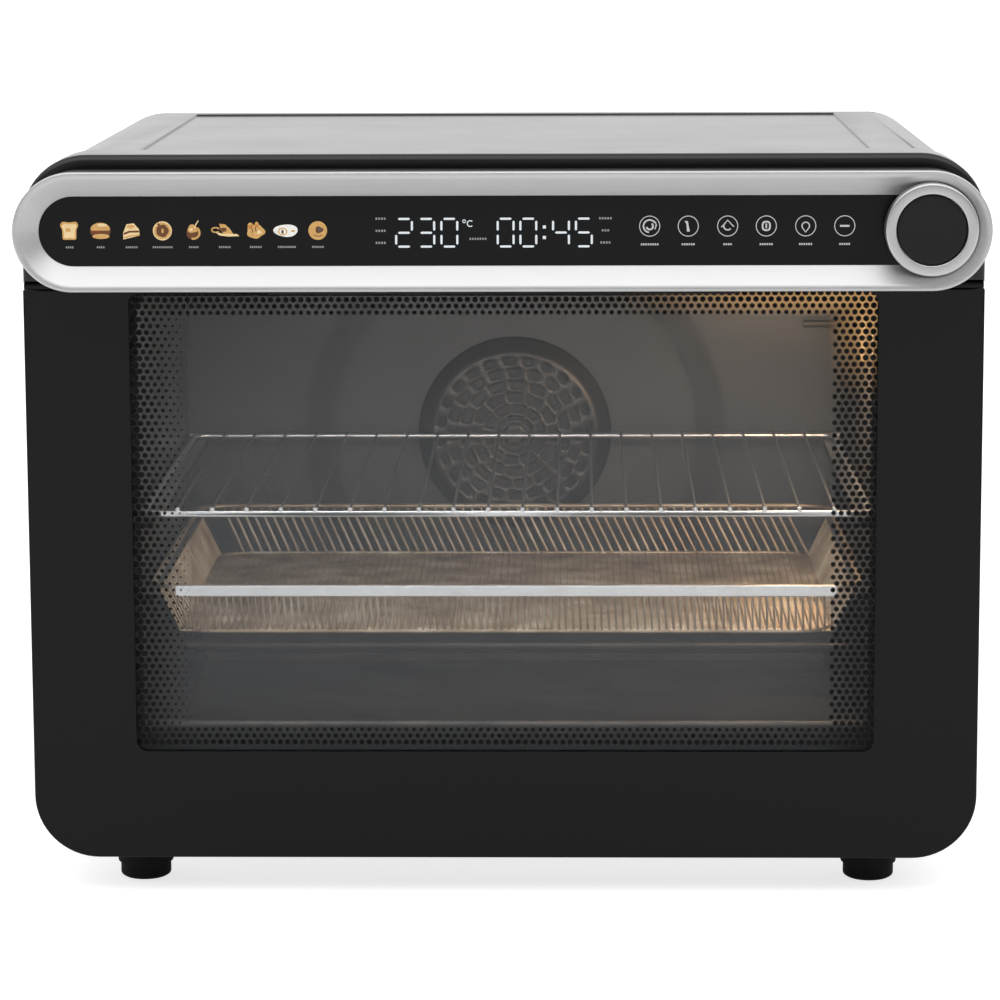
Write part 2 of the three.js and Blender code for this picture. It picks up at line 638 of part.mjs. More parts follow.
for (const [side, name] of [[-1, "left"], [1, "right"]]) {
  const ends = (low, high) => (side > 0 ? [low, high] : [-high, -low]);
  const width = ends(hinge.x - hinge.bracket / 2, hinge.x + hinge.bracket / 2);
  const eyeCentre = [hinge.y, hinge.z];
  const bracket = join(
    rod("x", hinge.eye, width, eyeCentre, 20),
    box(width, [hinge.y, doorZone - seam], [hinge.z - hinge.eye, hinge.z + hinge.eye]),
  ).subtract(rod("x", pinHole, [width[0] - 1, width[1] + 1], eyeCentre));
  add(`hinge_bracket_${name}`, bracket, materials.galvanised);
  add(`hinge_pin_${name}`, rod("x", pin.radius, ends(...pinSpan), eyeCentre), materials.chrome);
  const start = side > 0 ? pinSpan[0] + 2 : -pinSpan[0] - 2 - hingeSpring.length;
  const coil = new CoilCurve(hingeSpring.radius, hingeSpring.length, hingeSpring.turns, "x");
  const spring = wire(coil, hingeSpring.wire, hingeSpring.turns * 8, 2);
  add(`hinge_spring_${name}`, spring, materials.darkSteel, [start, hinge.y, hinge.z]);
}

// ---- Control panel ----

const towardsBack = (piece) => [-piece.front, -piece.back];

function controlHousing() {
  const { radius, wall, depth } = housing;
  const span = [-seam - depth, -seam];
  const tray = stadium(radius, span).subtract(stadium(radius - wall, [span[0] - 1, -seam - wall]));
  const postSpan = [-board.gapBehind, -seam - 1];
  const posts = board.posts.map((x) => rod("y", board.post, postSpan, [x, panelHeight], 12));
  return join(tray, ...posts).subtract(rod("y", wiringHole, [-span[1] - wall - 5, 1], [0, panelHeight]));
}

function controlTrim() {
  const { radius, lip, opening, front, back, bevelBack } = trim;
  const pocket = stadium(fascia.radius + seam, [-fascia.front - seam, -back + 1]);
  return stadium(radius, [-front, -back])
    .subtract(stadium(radius - lip, [-front, -bevelBack], opening))
    .subtract(join(stadium(opening, [-front, -back + 1]), pocket));
}

add("control_housing", controlHousing(), materials.blackPlastic);
add("control_trim", controlTrim(), materials.satinMetal);
const hubHole = rod("y", hub.radius + 0.5, [-fascia.front - 1, -fascia.back + 1], dialCentre);
add("control_fascia", stadium(fascia.radius, towardsBack(fascia)).subtract(hubHole), materials.smokedGlass);

const boardSpan = [-board.gapBehind - seam - board.thickness, -board.gapBehind - seam];
const boardZ = [panelHeight - board.height / 2, panelHeight + board.height / 2];
add("control_board", box([-panelCentre, panelCentre], boardSpan, boardZ), materials.circuit);
const displayZ = [panelHeight - display.height / 2, panelHeight + display.height / 2];
const displaySpan = [-fascia.back + seam, boardSpan[0] - seam];
add("display_module", box([display.left, display.right], displaySpan, displayZ), materials.blackPlastic);

const encoderSpan = [-encoder.front, boardSpan[0] - seam];
const encoderShape = rod("y", encoder.radius, encoderSpan, dialCentre, 20).subtract(
  rod("y", encoder.bore, [-encoder.front - 1, -encoder.boreBack], dialCentre, 20),
);
add("encoder_body", encoderShape, materials.galvanised);

function dialRing() {
  const ring = rod("y", dial.radius - 0.8, [-dial.front, -dial.front + 0.8], dialCentre, 48, dial.radius);
  const side = rod("y", dial.radius, [-dial.front + 0.8, -dial.back], dialCentre, 48);
  const bore = rod("y", dialBore, [-dial.front - 1, -dial.back - dial.web], dialCentre, 48);
  const shaft = rod("y", hub.radius, [-dial.back - 1, -hub.back], dialCentre, 20);
  const stemBore = rod("y", hub.bore, [-dial.front, -hub.back + 1], dialCentre);
  return join(ring, side).subtract(bore).add(shaft).subtract(stemBore);
}

add("dial_ring", dialRing(), materials.satinMetal);
const buttonShape = join(
  rod("y", button.radius - 0.6, [-button.front, -button.front + 0.6], dialCentre, 40, button.radius),
  rod("y", button.radius, [-button.front + 0.6, -button.back], dialCentre, 40),
  rod("y", button.stem, [-button.back - 1, -button.stemBack], dialCentre, 12),
);
add("dial_button", buttonShape, materials.blackPlastic);
const { radius: coilRadius, wire: coilWire, turns: coilTurns } = buttonSpring;
const springLength = button.stemBack - encoder.boreBack - 2 * seam - 2 * coilWire;
const springCurve = new CoilCurve(coilRadius, springLength, coilTurns, "y");
const buttonCoil = wire(springCurve, coilWire, coilTurns * 8, 2);
const [dialX, dialZ] = dialCentre;
const springPlace = [dialX, -button.stemBack + seam + coilWire, dialZ];
add("button_spring", buttonCoil, materials.chrome, springPlace);

// ---- Power board on the base ----

const boardBottom = baseTop + powerBoard.standoff + seam;
function powerBoardShape() {
  const { x, y, width, depth } = powerBoard;
  const top = boardBottom + board.thickness;
  const plate = box([x - width / 2, x + width / 2], [y - depth / 2, y + depth / 2], [boardBottom, top]);
  const relay = box([x - 55, x - 30], [y - 10, y + 20], [top - 0.5, top + 12]);
  const transformer = box([x, x + 32], [y - 25, y + 10], [top - 0.5, top + 14]);
  return join(plate, relay, transformer);
}
add("power_board", powerBoardShape(), materials.circuit);

// ---- Racks, basket and tray ----

function wireRack() {
  const { height, front, rear, sideHalf, rearHalf, rail, wire: gauge } = rack;
  const rods = [
    rod("x", rail, [-sideHalf, sideHalf], [front, height], 8),
    rod("x", rail, [-rearHalf, rearHalf], [rear, height], 8),
  ];
  for (const side of [-1, 1]) rods.push(rod("y", rail, [front, rear], [side * sideHalf, height], 8));
  const firstWire = (-(rackWires - 1) / 2) * rackPitch;
  for (let i = 0; i < rackWires; i += 1) {
    rods.push(rod("y", gauge, [front - 1, rear], [firstWire + i * rackPitch, height + rail - 0.3], 6));
  }
  return join(...rods);
}

// A box whose bottom is drawn in by the given slope on every side
function taperedBox([x0, x1], [y0, y1], [z0, z1], slope) {
  const geometry = new THREE.BoxGeometry(x1 - x0, y1 - y0, z1 - z0);
  const position = geometry.attributes.position;
  for (let i = 0; i < position.count; i += 1) {
    const [x, y, z] = [position.getX(i), position.getY(i), position.getZ(i)];
    if (z < 0) position.setXYZ(i, x - Math.sign(x) * slope, y - Math.sign(y) * slope, z);
  }
  return solid(geometry.translate((x0 + x1) / 2, (y0 + y1) / 2, (z0 + z1) / 2));
}

function fryBasket() {
  const { top, height, half, front, rear, flange, slope, wall, rim: rimHeight } = basket;
  const floor = top - height;
  const rim = box([-half, half], [front, rear], [top - rimHeight, top]);
  const pan = (grow, zs) =>
    taperedBox(
      [-half + flange - grow, half - flange + grow],
      [front + flange - grow, rear - flange + grow],
      zs,
      slope,
    );
  const barHeight = [top - basketBar.height, top];
  const bar = box([-basketBar.half, basketBar.half], [front, front + basketBar.depth], barHeight);
  return join(rim, pan(wall, [floor, top - 1]), bar).subtract(pan(0, [floor + wall, top + 1]));
}

function crumbTray() {
  const { half, front, rear, wall, height, lipHeight } = tray;
  const floor = cavity.floor + 2 * seam;
  const pan = box([-half, half], [front, rear], [floor, floor + height]).subtract(
    box([-half + wall, half - wall], [front + wall, rear - wall], [floor + wall, floor + height + 1]),
  );
  return join(pan, box([-half, half], [front, front + wall], [floor, floor + lipHeight]));
}

add("wire_rack", wireRack(), materials.chrome);
add("fry_basket", fryBasket(), materials.fryMesh);
add("crumb_tray", crumbTray(), materials.darkSteel);

oven.position.y = (dial.front - bodyDepth - seam - spacer.length) / 2;

export default oven;
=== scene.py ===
# Looks of a countertop toaster oven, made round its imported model.
# Metres; x across, y from the door to the back, z up.
import math

import bmesh
import bpy
import numpy as np
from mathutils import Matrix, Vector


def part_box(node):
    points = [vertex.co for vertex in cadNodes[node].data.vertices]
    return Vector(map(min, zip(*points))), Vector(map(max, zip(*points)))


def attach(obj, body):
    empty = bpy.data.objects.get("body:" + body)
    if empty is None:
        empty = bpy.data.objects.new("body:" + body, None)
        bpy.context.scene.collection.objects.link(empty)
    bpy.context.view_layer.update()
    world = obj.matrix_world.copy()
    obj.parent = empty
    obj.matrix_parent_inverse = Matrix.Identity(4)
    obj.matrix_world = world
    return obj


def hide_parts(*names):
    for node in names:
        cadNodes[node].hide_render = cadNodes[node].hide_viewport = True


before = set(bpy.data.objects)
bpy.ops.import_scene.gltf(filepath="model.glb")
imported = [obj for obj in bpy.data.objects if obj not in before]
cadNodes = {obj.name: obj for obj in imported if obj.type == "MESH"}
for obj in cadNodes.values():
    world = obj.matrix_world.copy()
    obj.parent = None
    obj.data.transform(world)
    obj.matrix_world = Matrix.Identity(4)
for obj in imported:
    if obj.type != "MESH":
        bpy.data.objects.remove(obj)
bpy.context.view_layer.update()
mm = 0.001


# ---- Places that the frame gives ----

doorLow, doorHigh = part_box("door_outer_glass")
trimLow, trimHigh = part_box("control_trim")
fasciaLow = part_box("control_fascia")[0]
dialLow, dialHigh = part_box("dial_ring")
cavityLow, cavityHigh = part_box("cavity_shell")
doorY = doorLow.y  # the door's front face
trimRadius = (trimHigh.z - trimLow.z) / 2
panelZ = (trimHigh.z + trimLow.z) / 2
panelHalf = trimHigh.x - trimRadius  # centre of the panel's round ends
dialX, dialZ = (dialLow.x + dialHigh.x) / 2, (dialLow.z + dialHigh.z) / 2


# ---- Camera, world and floor ----

view = {
    "place": (0.04103, -2.14639, 0.53583), "pitch": -0.16242, "roll": 0.00392, "yaw": 0.02109,
    "lens": 137.14, "sensor": 36,
}



def addObject(name, data):
    made = bpy.data.objects.new(name, data)
    bpy.context.scene.collection.objects.link(made)
    return made


camera = addObject("camera", bpy.data.cameras.new("camera"))
camera.location = view["place"]
camera.rotation_euler = (math.pi / 2 + view["pitch"], view["roll"], view["yaw"])
camera.data.lens = view["lens"]
camera.data.sensor_width = view["sensor"]
bpy.context.scene.camera = camera
bpy.context.scene.view_settings.view_transform = "Standard"


# One output of a node; arithmetic on it adds Math nodes
class Wire:
    def __init__(self, tree, socket):
        self.tree = tree
        self.socket = socket

    def math(self, operation, *others):
        values = dict(enumerate((self, *others)))
        return self.tree.node("ShaderNodeMath", {"operation": operation}, values)

    def __add__(self, other):
        return self.math("ADD", other)

    def __sub__(self, other):
        return self.math("SUBTRACT", other)

    def __mul__(self, other):
        return self.math("MULTIPLY", other)

    def __truediv__(self, other):
        return self.math("DIVIDE", other)

    def __pow__(self, other):
        return self.math("POWER", other)

    def __rsub__(self, other):
        return self.tree.node("ShaderNodeMath", {"operation": "SUBTRACT"}, {0: other, 1: self})

    __radd__ = __add__
    __rmul__ = __mul__

    def __abs__(self):
        return self.math("ABSOLUTE")

    def atLeast(self, other):
        return self.math("MAXIMUM", other)

    def root(self):
        return self.math("SQRT")

    # a smooth step from 0 at low to 1 at high
    def between(self, low, high):
        ends = {"Value": self, "From Min": low, "From Max": high}
        return self.tree.node("ShaderNodeMapRange", {"interpolation_type": "SMOOTHSTEP"}, ends)

    def part(self, name):
        return Wire(self.tree, self.socket.node.outputs[name])


class Tree:
    def __init__(self, owner):
        owner.use_nodes = True
        self.nodes = owner.node_tree.nodes
        self.links = owner.node_tree.links

    # settings first, then the values or links of the sockets
    def node(self, kind, settings, values, output=0):
        made = self.nodes.new(kind)
        for name, setting in settings.items():
            if name == "stops":
                self.setStops(made.color_ramp, setting)
            else:
                setattr(made, name, setting)
        for name, value in values.items():
            self.join(value, made.inputs[name])
        return Wire(self, made.outputs[output])

    def join(self, value, socket):
        if isinstance(value, Wire):
            self.links.new(value.socket, socket)
        else:
            socket.default_value = value

    def setStops(self, ramp, stops):
        while len(ramp.elements) < len(stops):
            ramp.elements.new(0.5)
        for element, (place, colour) in zip(ramp.elements, stops):
            element.position = place
            element.color = (*colour, 1)

    # the piece's own coordinates, stretched along its axes
    def where(self, stretch=(1, 1, 1)):
        own = self.node("ShaderNodeTexCoord", {}, {}, "Object")
        return self.node("ShaderNodeMapping", {}, {"Vector": own, "Scale": stretch})

    def axes(self, vector=None):
        split = self.node("ShaderNodeSeparateXYZ", {}, {0: vector or self.where()})
        return [split.part(name) for name in "XYZ"]

    def noise(self, scale, detail=2, stretch=(1, 1, 1)):
        values = {"Vector": self.where(stretch), "Scale": scale, "Detail": detail}
        return self.node("ShaderNodeTexNoise", {}, values)

    def cells(self, scale, stretch=(1, 1, 1)):
        return self.node("ShaderNodeTexVoronoi", {}, {"Vector": self.where(stretch), "Scale": scale})

    def mix(self, share, first, second):
        return self.node("ShaderNodeMix", {"data_type": "RGBA"}, {0: share, 6: first, 7: second}, 2)

    def ramp(self, share, *stops):
        return self.node("ShaderNodeValToRGB", {"stops": stops}, {0: share})


def rgb(red, green, blue):
    return (red, green, blue, 1)


# A Principled material whose constant sockets are given by name
class Finish(Tree):
    def __init__(self, name, colour, roughness, **constants):
        self.material = bpy.data.materials.new(name)
        super().__init__(self.material)
        self.shader = self.nodes["Principled BSDF"]
        self.set("Base Color", rgb(*colour))
        self.set("Roughness", roughness)
        for socket, value in constants.items():
            self.set(socket.replace("_", " "), value)

    def set(self, socket, value):
        self.join(value, self.shader.inputs[socket])

    def bump(self, height, depth, strength=0.5):
        values = {"Height": height, "Distance": depth, "Strength": strength}
        self.set("Normal", self.node("ShaderNodeBump", {}, values))


studio = {"front": 0.17, "back": 1.15, "sides": 0.4, "overhead": 0.9, "softbox": 1.9}
# where each part of the room fades in, as directions from the middle
fades = {
    "back": (-0.1, 0.55), "sides": (0.3, 0.9), "overhead": (0.3, 0.75),
    "boxHeight": (0.45, 0.7), "boxDepth": (0.02, 0.3), "boxWidth": (0.55, 0.9),
}


# A bright softbox up in front, a bright wall behind, and a dim room on the camera's side
def makeWorld():
    world = bpy.data.worlds.new("studio")
    bpy.context.scene.world = world
    tree = Tree(world)
    x, y, z = tree.axes(tree.node("ShaderNodeTexCoord", {}, {}, "Generated"))
    behind = y.between(*fades["back"])
    level = studio["front"] + behind * (studio["back"] - studio["front"])
    level = level + abs(x).between(*fades["sides"]) * (1 - behind) * (studio["sides"] - studio["front"])
    high = z.between(*fades["overhead"])
    level = level * (1 - high) + high * studio["overhead"]
    box = z.between(*fades["boxHeight"]) * (0 - y).between(*fades["boxDepth"])
    box = box * (1 - abs(x).between(*fades["boxWidth"]))
    level = level + box * (studio["softbox"] - studio["overhead"])
    seen = tree.node("ShaderNodeLightPath", {}, {}, "Is Camera Ray")
    level = level * (1 - seen) + seen
    background = tree.nodes["Background"]
    background.inputs["Color"].default_value = rgb(1, 1, 1)
    tree.join(level, background.inputs["Strength"])


floorLook = {"half": 30.0, "tone": 0.62, "glow": 0.74, "inGloss": 0.35}


# Pale floor: part of its brightness is its own, so that it meets the white background,
# and the rest is lit, so that it keeps a soft shadow
def makeFloor():
    half = floorLook["half"]
    mesh = bpy.data.meshes.new("floor")
    corners = [(-half, -half, 0), (half, -half, 0), (half, half, 0), (-half, half, 0)]
    mesh.from_pydata(corners, [], [(0, 1, 2, 3)])
    floor = addObject("floor", mesh)
    look = Finish("floor_paper", [floorLook["tone"]] * 3, 0.9, Specular_IOR_Level=0.0)
    path = look.node("ShaderNodeLightPath", {}, {}, "Is Camera Ray")
    seen = path.atLeast(path.part("Is Transmission Ray"))
    seen = seen.atLeast(path.part("Is Glossy Ray") * floorLook["inGloss"])
    look.set("Emission Color", look.mix(seen, rgb(0, 0, 0), rgb(1, 1, 1)))
    look.set("Emission Strength", floorLook["glow"])
    mesh.materials.append(look.material)


makeWorld()
makeFloor()
print("camera, world and floor done")


# ---- Finishes ----


# A plain colour whose roughness drifts over broad patches (lowest, spread, scale, detail)
# and whose skin has a fine grain (scale, detail, depth, strength)
def grained(name, colour, drift, grain, **constants):
    look = Finish(name, colour, drift[0], **constants)
    look.set("Roughness", drift[0] + look.noise(*drift[2:]) * drift[1])
    look.bump(look.noise(*grain[:2]), grain[2] * mm, grain[3])
    return look.material


def glossBlack(name, shine):
    grain = (420, 2, 0.02, 0.25)
    return grained(name, (0.0035, 0.0035, 0.0038), (0.16, 0.1, 22, 4), grain, Specular_IOR_Level=shine)


# Baked powder paint: fine orange peel with a harder glazed top
def casingPaint():
    hard = {"Coat_Weight": 0.35, "Coat_Roughness": 0.12}
    return grained("casing_paint", [0.022] * 3, (0.26, 0.12, 14, 5), (900, 3, 0.035, 0.35), **hard)


# Moulded plastic with a spark-eroded texture of small cells
def mouldedBlack():
    look = Finish("moulded_black", (0.008, 0.008, 0.0085), 0.5, Specular_IOR_Level=0.35)
    look.set("Roughness", 0.42 + look.noise(30, 4) * 0.14)
    look.bump(look.cells(1300), 0.03 * mm, 0.4)
    return look.material


# Satin metal brushed along the panel: long streaks in tone, roughness and height
def satinMetal():
    look = Finish("satin_metal", (0.69, 0.69, 0.695), 0.34, Metallic=1.0)
    streaks = look.noise(260, 3, (0.12, 2.2, 3.2))
    tone = look.mix(streaks, rgb(0.63, 0.63, 0.635), rgb(0.75, 0.75, 0.755))
    look.set("Base Color", tone)
    look.set("Roughness", 0.4 + streaks * 0.14)
    look.bump(streaks, 0.03 * mm, 0.3)
    return look.material


# Satin metal turned on a lathe: rings about the dial's axis
def turnedMetal():
    look = Finish("turned_metal", (0.68, 0.68, 0.685), 0.3, Metallic=1.0)
    x, y, z = look.axes()
    radius = ((x - dialX) ** 2 + (z - dialZ) ** 2).root()
    fine = {"W": radius, "Scale": 9000, "Detail": 2}
    rings = look.node("ShaderNodeTexNoise", {"noise_dimensions": "1D"}, fine)
    look.set("Roughness", 0.26 + rings * 0.14)
    look.bump(rings, 0.02 * mm, 0.3)
    return look.material


window = {"half": 0.195, "low": 0.078, "high": 0.3226, "radius": 0.006, "edge": 0.0004, "tint": 0.08}


# Black print outside a rounded window, clear glass inside it
def printedGlass():
    look = Finish("printed_glass", (0.0035, 0.0035, 0.004), 0.1, Specular_IOR_Level=0.22)
    x, y, z = look.axes()
    middle = (window["low"] + window["high"]) / 2
    across = (abs(x) - (window["half"] - window["radius"])).atLeast(0)
    up = (abs(z - middle) - (window["high"] - middle - window["radius"])).atLeast(0)
    outside = (across * across + up * up).root()
    inked = outside.between(window["radius"] - window["edge"], window["radius"] + window["edge"])
    smudge = look.noise(9, 5).between(0.35, 0.8)
    look.set("Roughness", 0.07 + smudge * 0.07)
    look.set("Alpha", window["tint"] + inked * (1 - window["tint"]))
    return look.material


# bands of (start, full) that the painted lamplight fills along the window's top and its lamp side
caught = {
    "topHeight": (0.3085, 0.3175), "topWidth": (0.05, 0.2), "sideWidth": (0.168, 0.188),
    "sideHeight": (0.262, 0.326), "strength": 0.72,
}


# Painted lamplight: a glowing plate that stands for the lamp's light caught in the print's clear gaps,
# strongest in the corner beside the lamp
def paintedCaughtLight():
    look = Finish("painted_caught_light", (0.02, 0.015, 0.01), 0.6, Specular_IOR_Level=0.1, Emission_Strength=0.85)
    x, y, z = look.axes()
    alongTop = z.between(*caught["topHeight"]) * x.between(*caught["topWidth"])
    alongSide = x.between(*caught["sideWidth"]) * z.between(*caught["sideHeight"])
    look.set("Alpha", alongTop.atLeast(alongSide) * caught["strength"])
    tone = look.mix(look.noise(60, 3), rgb(0.5, 0.27, 0.1), rgb(0.66, 0.4, 0.17))
    look.set("Emission Color", tone)
    return look.material


# Coated inner pane: a thin grey veil, a little uneven where it has been wiped
def veiledGlass():
    look = Finish("veiled_glass", (0.19, 0.2, 0.21), 0.35, Specular_IOR_Level=0.3)
    wiped = look.noise(5, 6, (1, 1, 2.2))
    look.set("Alpha", 0.34 + wiped * 0.12)
    look.set("Roughness", 0.3 + wiped * 0.2)
    return look.material


def dotPrint():
    look = Finish("dot_print", (0.006, 0.006, 0.006), 0.6, Specular_IOR_Level=0.2)
    look.set("Roughness", 0.5 + look.noise(700) * 0.2)
    return look.material


def panelBlack():
    drift, grain = (0.22, 0.12, 18, 4), (600, 2, 0.01, 0.2)
    return grained("panel_black", (0.005, 0.005, 0.0054), drift, grain, Specular_IOR_Level=0.22)


# Vitreous enamel: dark grey with fine pale specks
def enamel(name="enamel", ring=None):
    look = Finish(name, (0.07, 0.07, 0.072), 0.32)
    specks = look.cells(700).between(0.12, 0.3)
    drift = look.noise(12, 4)
    base = look.mix(drift, rgb(0.055, 0.055, 0.057), rgb(0.085, 0.084, 0.083))
    if ring:  # painted shade: the embossed ring round the fan is painted darker, as if it gets less light
        x, y, z = look.axes()
        radius = ((x - ring["x"]) ** 2 + (z - ring["z"]) ** 2).root()
        inside = radius.between(ring["inner"] - ring["fade"], ring["inner"])
        band = inside * (1 - radius.between(ring["outer"], ring["outer"] + ring["fade"]))
        # painted shade: the ring's band is mixed to a darker colour
        base = look.mix(band, base, rgb(0.026, 0.024, 0.023))
    look.set("Base Color", look.mix(specks, rgb(0.16, 0.16, 0.16), base))
    look.set("Roughness", 0.26 + drift * 0.18)
    look.bump(look.noise(260), 0.05 * mm, 0.3)
    return look.material


# Steel browned and blued by heat in drifting patches
def heatedSteel(name="heated_steel", shade=1.0):
    look = Finish(name, (0.2, 0.19, 0.18), 0.42, Metallic=0.8)
    drift = look.noise(26, 5)
    levels = [(0.25, (0.1, 0.095, 0.1)), (0.5, (0.19, 0.175, 0.16)), (0.75, (0.26, 0.235, 0.21))]
    tones = [(share, [part * shade for part in tone]) for share, tone in levels]
    look.set("Base Color", look.ramp(drift, *tones))
    look.set("Roughness", 0.34 + look.noise(160, 3) * 0.2)
    look.bump(look.noise(1500), 0.02 * mm, 0.4)
    return look.material


def chromeWire(name="chrome_wire", shade=1.0):
    look = Finish(name, (0.86, 0.87, 0.88), 0.3, Metallic=1.0)
    drift = look.noise(60, 4)
    bright = [level * shade for level in (0.92, 0.93, 0.94)]
    baked = [level * shade for level in (0.82, 0.81, 0.79)]
    look.set("Base Color", look.mix(drift.between(0.5, 0.8), rgb(*bright), rgb(*baked)))
    look.set("Roughness", 0.28 + drift * 0.14)
    return look.material


# Basket wire: bright metal tinted golden, a painted stand-in for the lamp's warm light on it
def basketWire():
    look = Finish("basket_wire", (0.55, 0.42, 0.28), 0.34, Metallic=0.8)
    drift = look.noise(48, 5)
    tones = [(0.3, (0.4, 0.29, 0.19)), (0.52, (0.6, 0.48, 0.35)), (0.72, (0.85, 0.76, 0.62))]
    look.set("Base Color", look.ramp(drift, *tones))
    look.set("Roughness", 0.4 + drift * 0.2)
    return look.material


# Zinc plate: large pale crystals
def zincPlate():
    look = Finish("zinc_plate", (0.5, 0.52, 0.54), 0.4, Metallic=0.95)
    crystals = look.cells(140)
    look.set("Base Color", look.mix(crystals, rgb(0.42, 0.44, 0.46), rgb(0.6, 0.62, 0.64)))
    look.set("Roughness", 0.3 + crystals * 0.22)
    return look.material


def softBlack(name, tone, scale):
    drift, grain = (0.72, 0.16, 50, 3), (scale, 3, 0.05, 0.5)
    return grained(name, [tone] * 3, drift, grain, Specular_IOR_Level=0.25)


# Solder mask with copper tracks in two directions under it
def solderMask():
    look = Finish("solder_mask", (0.02, 0.1, 0.05), 0.35)
    across = look.noise(90, 1, (0.15, 1, 3)).between(0.5, 0.54)
    along = look.noise(110, 1, (3, 1, 0.15)).between(0.5, 0.54)
    tracks = across.atLeast(along)
    look.set("Base Color", look.mix(tracks, rgb(0.012, 0.075, 0.035), rgb(0.04, 0.16, 0.07)))
    look.bump(tracks, 0.03 * mm, 0.6)
    return look.material


def ceramicWhite():
    look = Finish("ceramic_white", (0.8, 0.78, 0.72), 0.6)
    look.set("Base Color", look.mix(look.noise(70, 4), rgb(0.72, 0.69, 0.62), rgb(0.84, 0.82, 0.77)))
    look.bump(look.noise(1200), 0.04 * mm, 0.5)
    return look.material


# Frosted lamp glass, lit from behind, brighter at its middle
def lampGlow():
    low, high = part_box("lamp_glass")
    look = Finish("lamp_glow", (0.16, 0.11, 0.06), 0.5, Emission_Strength=0.25)
    x, y, z = look.axes()
    radius = (high.z - low.z) / 2
    away = ((y - (low.y + high.y) / 2) ** 2 + (z - (low.z + high.z) / 2) ** 2).root() / radius
    look.set("Emission Color", look.ramp(away, (0.0, (1.0, 0.72, 0.38)), (1.0, (0.7, 0.36, 0.12))))
    return look.material


# Ink of the printed symbols, lit from behind the panel
def ink(name, colour, glow=0.5, shade=0.75):
    look = Finish(name, colour, 0.5, Emission_Strength=glow)
    grain = look.noise(1600, 3)
    darker = rgb(*(level * shade for level in colour))
    tone = look.mix(grain.between(0.35, 0.65), darker, rgb(*colour))
    look.set("Base Color", tone)
    look.set("Emission Color", tone)
    return look.material


black = glossBlack("gloss_black", 0.22)
bezelBlack = glossBlack("bezel_black", 0.5)
paint = casingPaint()
moulded = mouldedBlack()
satin = satinMetal()
turnedSatin = turnedMetal()
panel = panelBlack()
enamelled = enamel()
fanLow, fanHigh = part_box("fan_grille")
fanX, fanZ = (fanLow.x + fanHigh.x) / 2, (fanLow.z + fanHigh.z) / 2
# the embossed ring's band round the fan, painted darker as shade
ringShade = {"x": fanX, "z": fanZ, "inner": 0.1126, "outer": 0.1274, "fade": 0.004}
ringShadeEnamel = enamel("enamel_ring_shade", ringShade)
heated = heatedSteel()
sooted = heatedSteel("sooted_steel", 0.5)
chrome = chromeWire()
# a darker copy of the chrome: painted shade on the rack's cross wires
shadedWire = chromeWire("wire_painted_shade", 0.3)
# the golden tint of the basket wire is painted warm lamplight
lampTintWire = basketWire()
zinc = zincPlate()
rubber = softBlack("rubber", 0.012, 900)
silicone = softBlack("silicone", 0.03, 400)
board = solderMask()
ceramic = ceramicWhite()
glow = lampGlow()
print("finishes done")


# ---- Shapes: each is (points, faces), and shapes are joined into one mesh ----


# Faces of a grid of rows x columns points, numbered row by row: each row is a closed ring,
# and closeRows joins the last row to the first
def gridFaces(rows, columns, closeRows=False):
    row = np.arange(rows if closeRows else rows - 1)
    row, column = np.meshgrid(row, np.arange(columns), indexing="ij")
    nextRow, nextColumn = (row + 1) % rows, (column + 1) % columns
    near, far = row * columns, nextRow * columns
    corners = [near + column, near + nextColumn, far + nextColumn, far + column]
    return np.stack(corners, axis=-1).reshape(-1, 4)


def joined(shapes):
    points = np.concatenate([shape[0] for shape in shapes])
    starts = np.cumsum([0] + [len(shape[0]) for shape in shapes[:-1]])
    faces = []
    for start, (_, own) in zip(starts, shapes):
        if isinstance(own, np.ndarray):
            faces.extend((own + start).tolist())
        else:
            faces.extend([[int(corner) + int(start) for corner in face] for face in own])
    return points, faces


# Corners of an outline, each replaced by a curve that leaves one side and meets the next:
# a quadratic curve with the corner as its middle control point
def filleted(corners, radii, steps=4, closed=True):
    corners = np.array(corners, float)
    t = np.linspace(0, 1, steps + 1)[:, None]
    outline = []
    for index, (corner, radius) in enumerate(zip(corners, radii)):
        if radius == 0 or (not closed and index in (0, len(corners) - 1)):
            outline.append(corner[None])
            continue
        before = corners[index - 1] - corner
        after = corners[(index + 1) % len(corners)] - corner
        start = corner + before / np.linalg.norm(before) * radius
        end = corner + after / np.linalg.norm(after) * radius
        outline.append((1 - t) ** 2 * start + 2 * t * (1 - t) * corner + t**2 * end)
    return np.concatenate(outline)


# A profile of (radius, place) turned about an axis: the point is radius times
# (cos a, sin a) off the axis, and place along it
def turned(profile, axis, centre, sides=64):
    angle = np.linspace(0, 2 * math.pi, sides, endpoint=False)
    radius, place = np.array(profile).T
    across = np.outer(radius, np.cos(angle))
    up = np.outer(radius, np.sin(angle))
    along = np.repeat(place[:, None], sides, axis=1)
    order = {"x": (along, across, up), "y": (across, along, up), "z": (across, up, along)}[axis]
    points = np.stack(order, axis=-1).reshape(-1, 3) + np.array(centre)
    return points, gridFaces(len(profile), sides)


# A section of (radius, y) carried round the panel's stadium: x is the near end's centre
# plus radius times cos a, z is the panel's height plus radius times sin a
def roundPanel(section, steps=40):
    right = np.linspace(-math.pi / 2, math.pi / 2, steps)
    angle = np.concatenate([right, right + math.pi])
    ends = np.repeat([panelHalf, -panelHalf], steps)
    radius, y = np.array(section).T
    x = ends + np.outer(radius, np.cos(angle))
    z = panelZ + np.outer(radius, np.sin(angle))
    points = np.stack([x, np.repeat(y[:, None], len(angle), axis=1), z], axis=-1).reshape(-1, 3)
    return points, gridFaces(len(section), len(angle), closeRows=True)


# Two directions square to each tangent: its cross products with a fixed direction
def squareTo(tangent, flat):
    side = np.cross(tangent, np.array(flat, float))
    side /= np.linalg.norm(side, axis=1)[:, None]
    return side, np.cross(side, tangent)


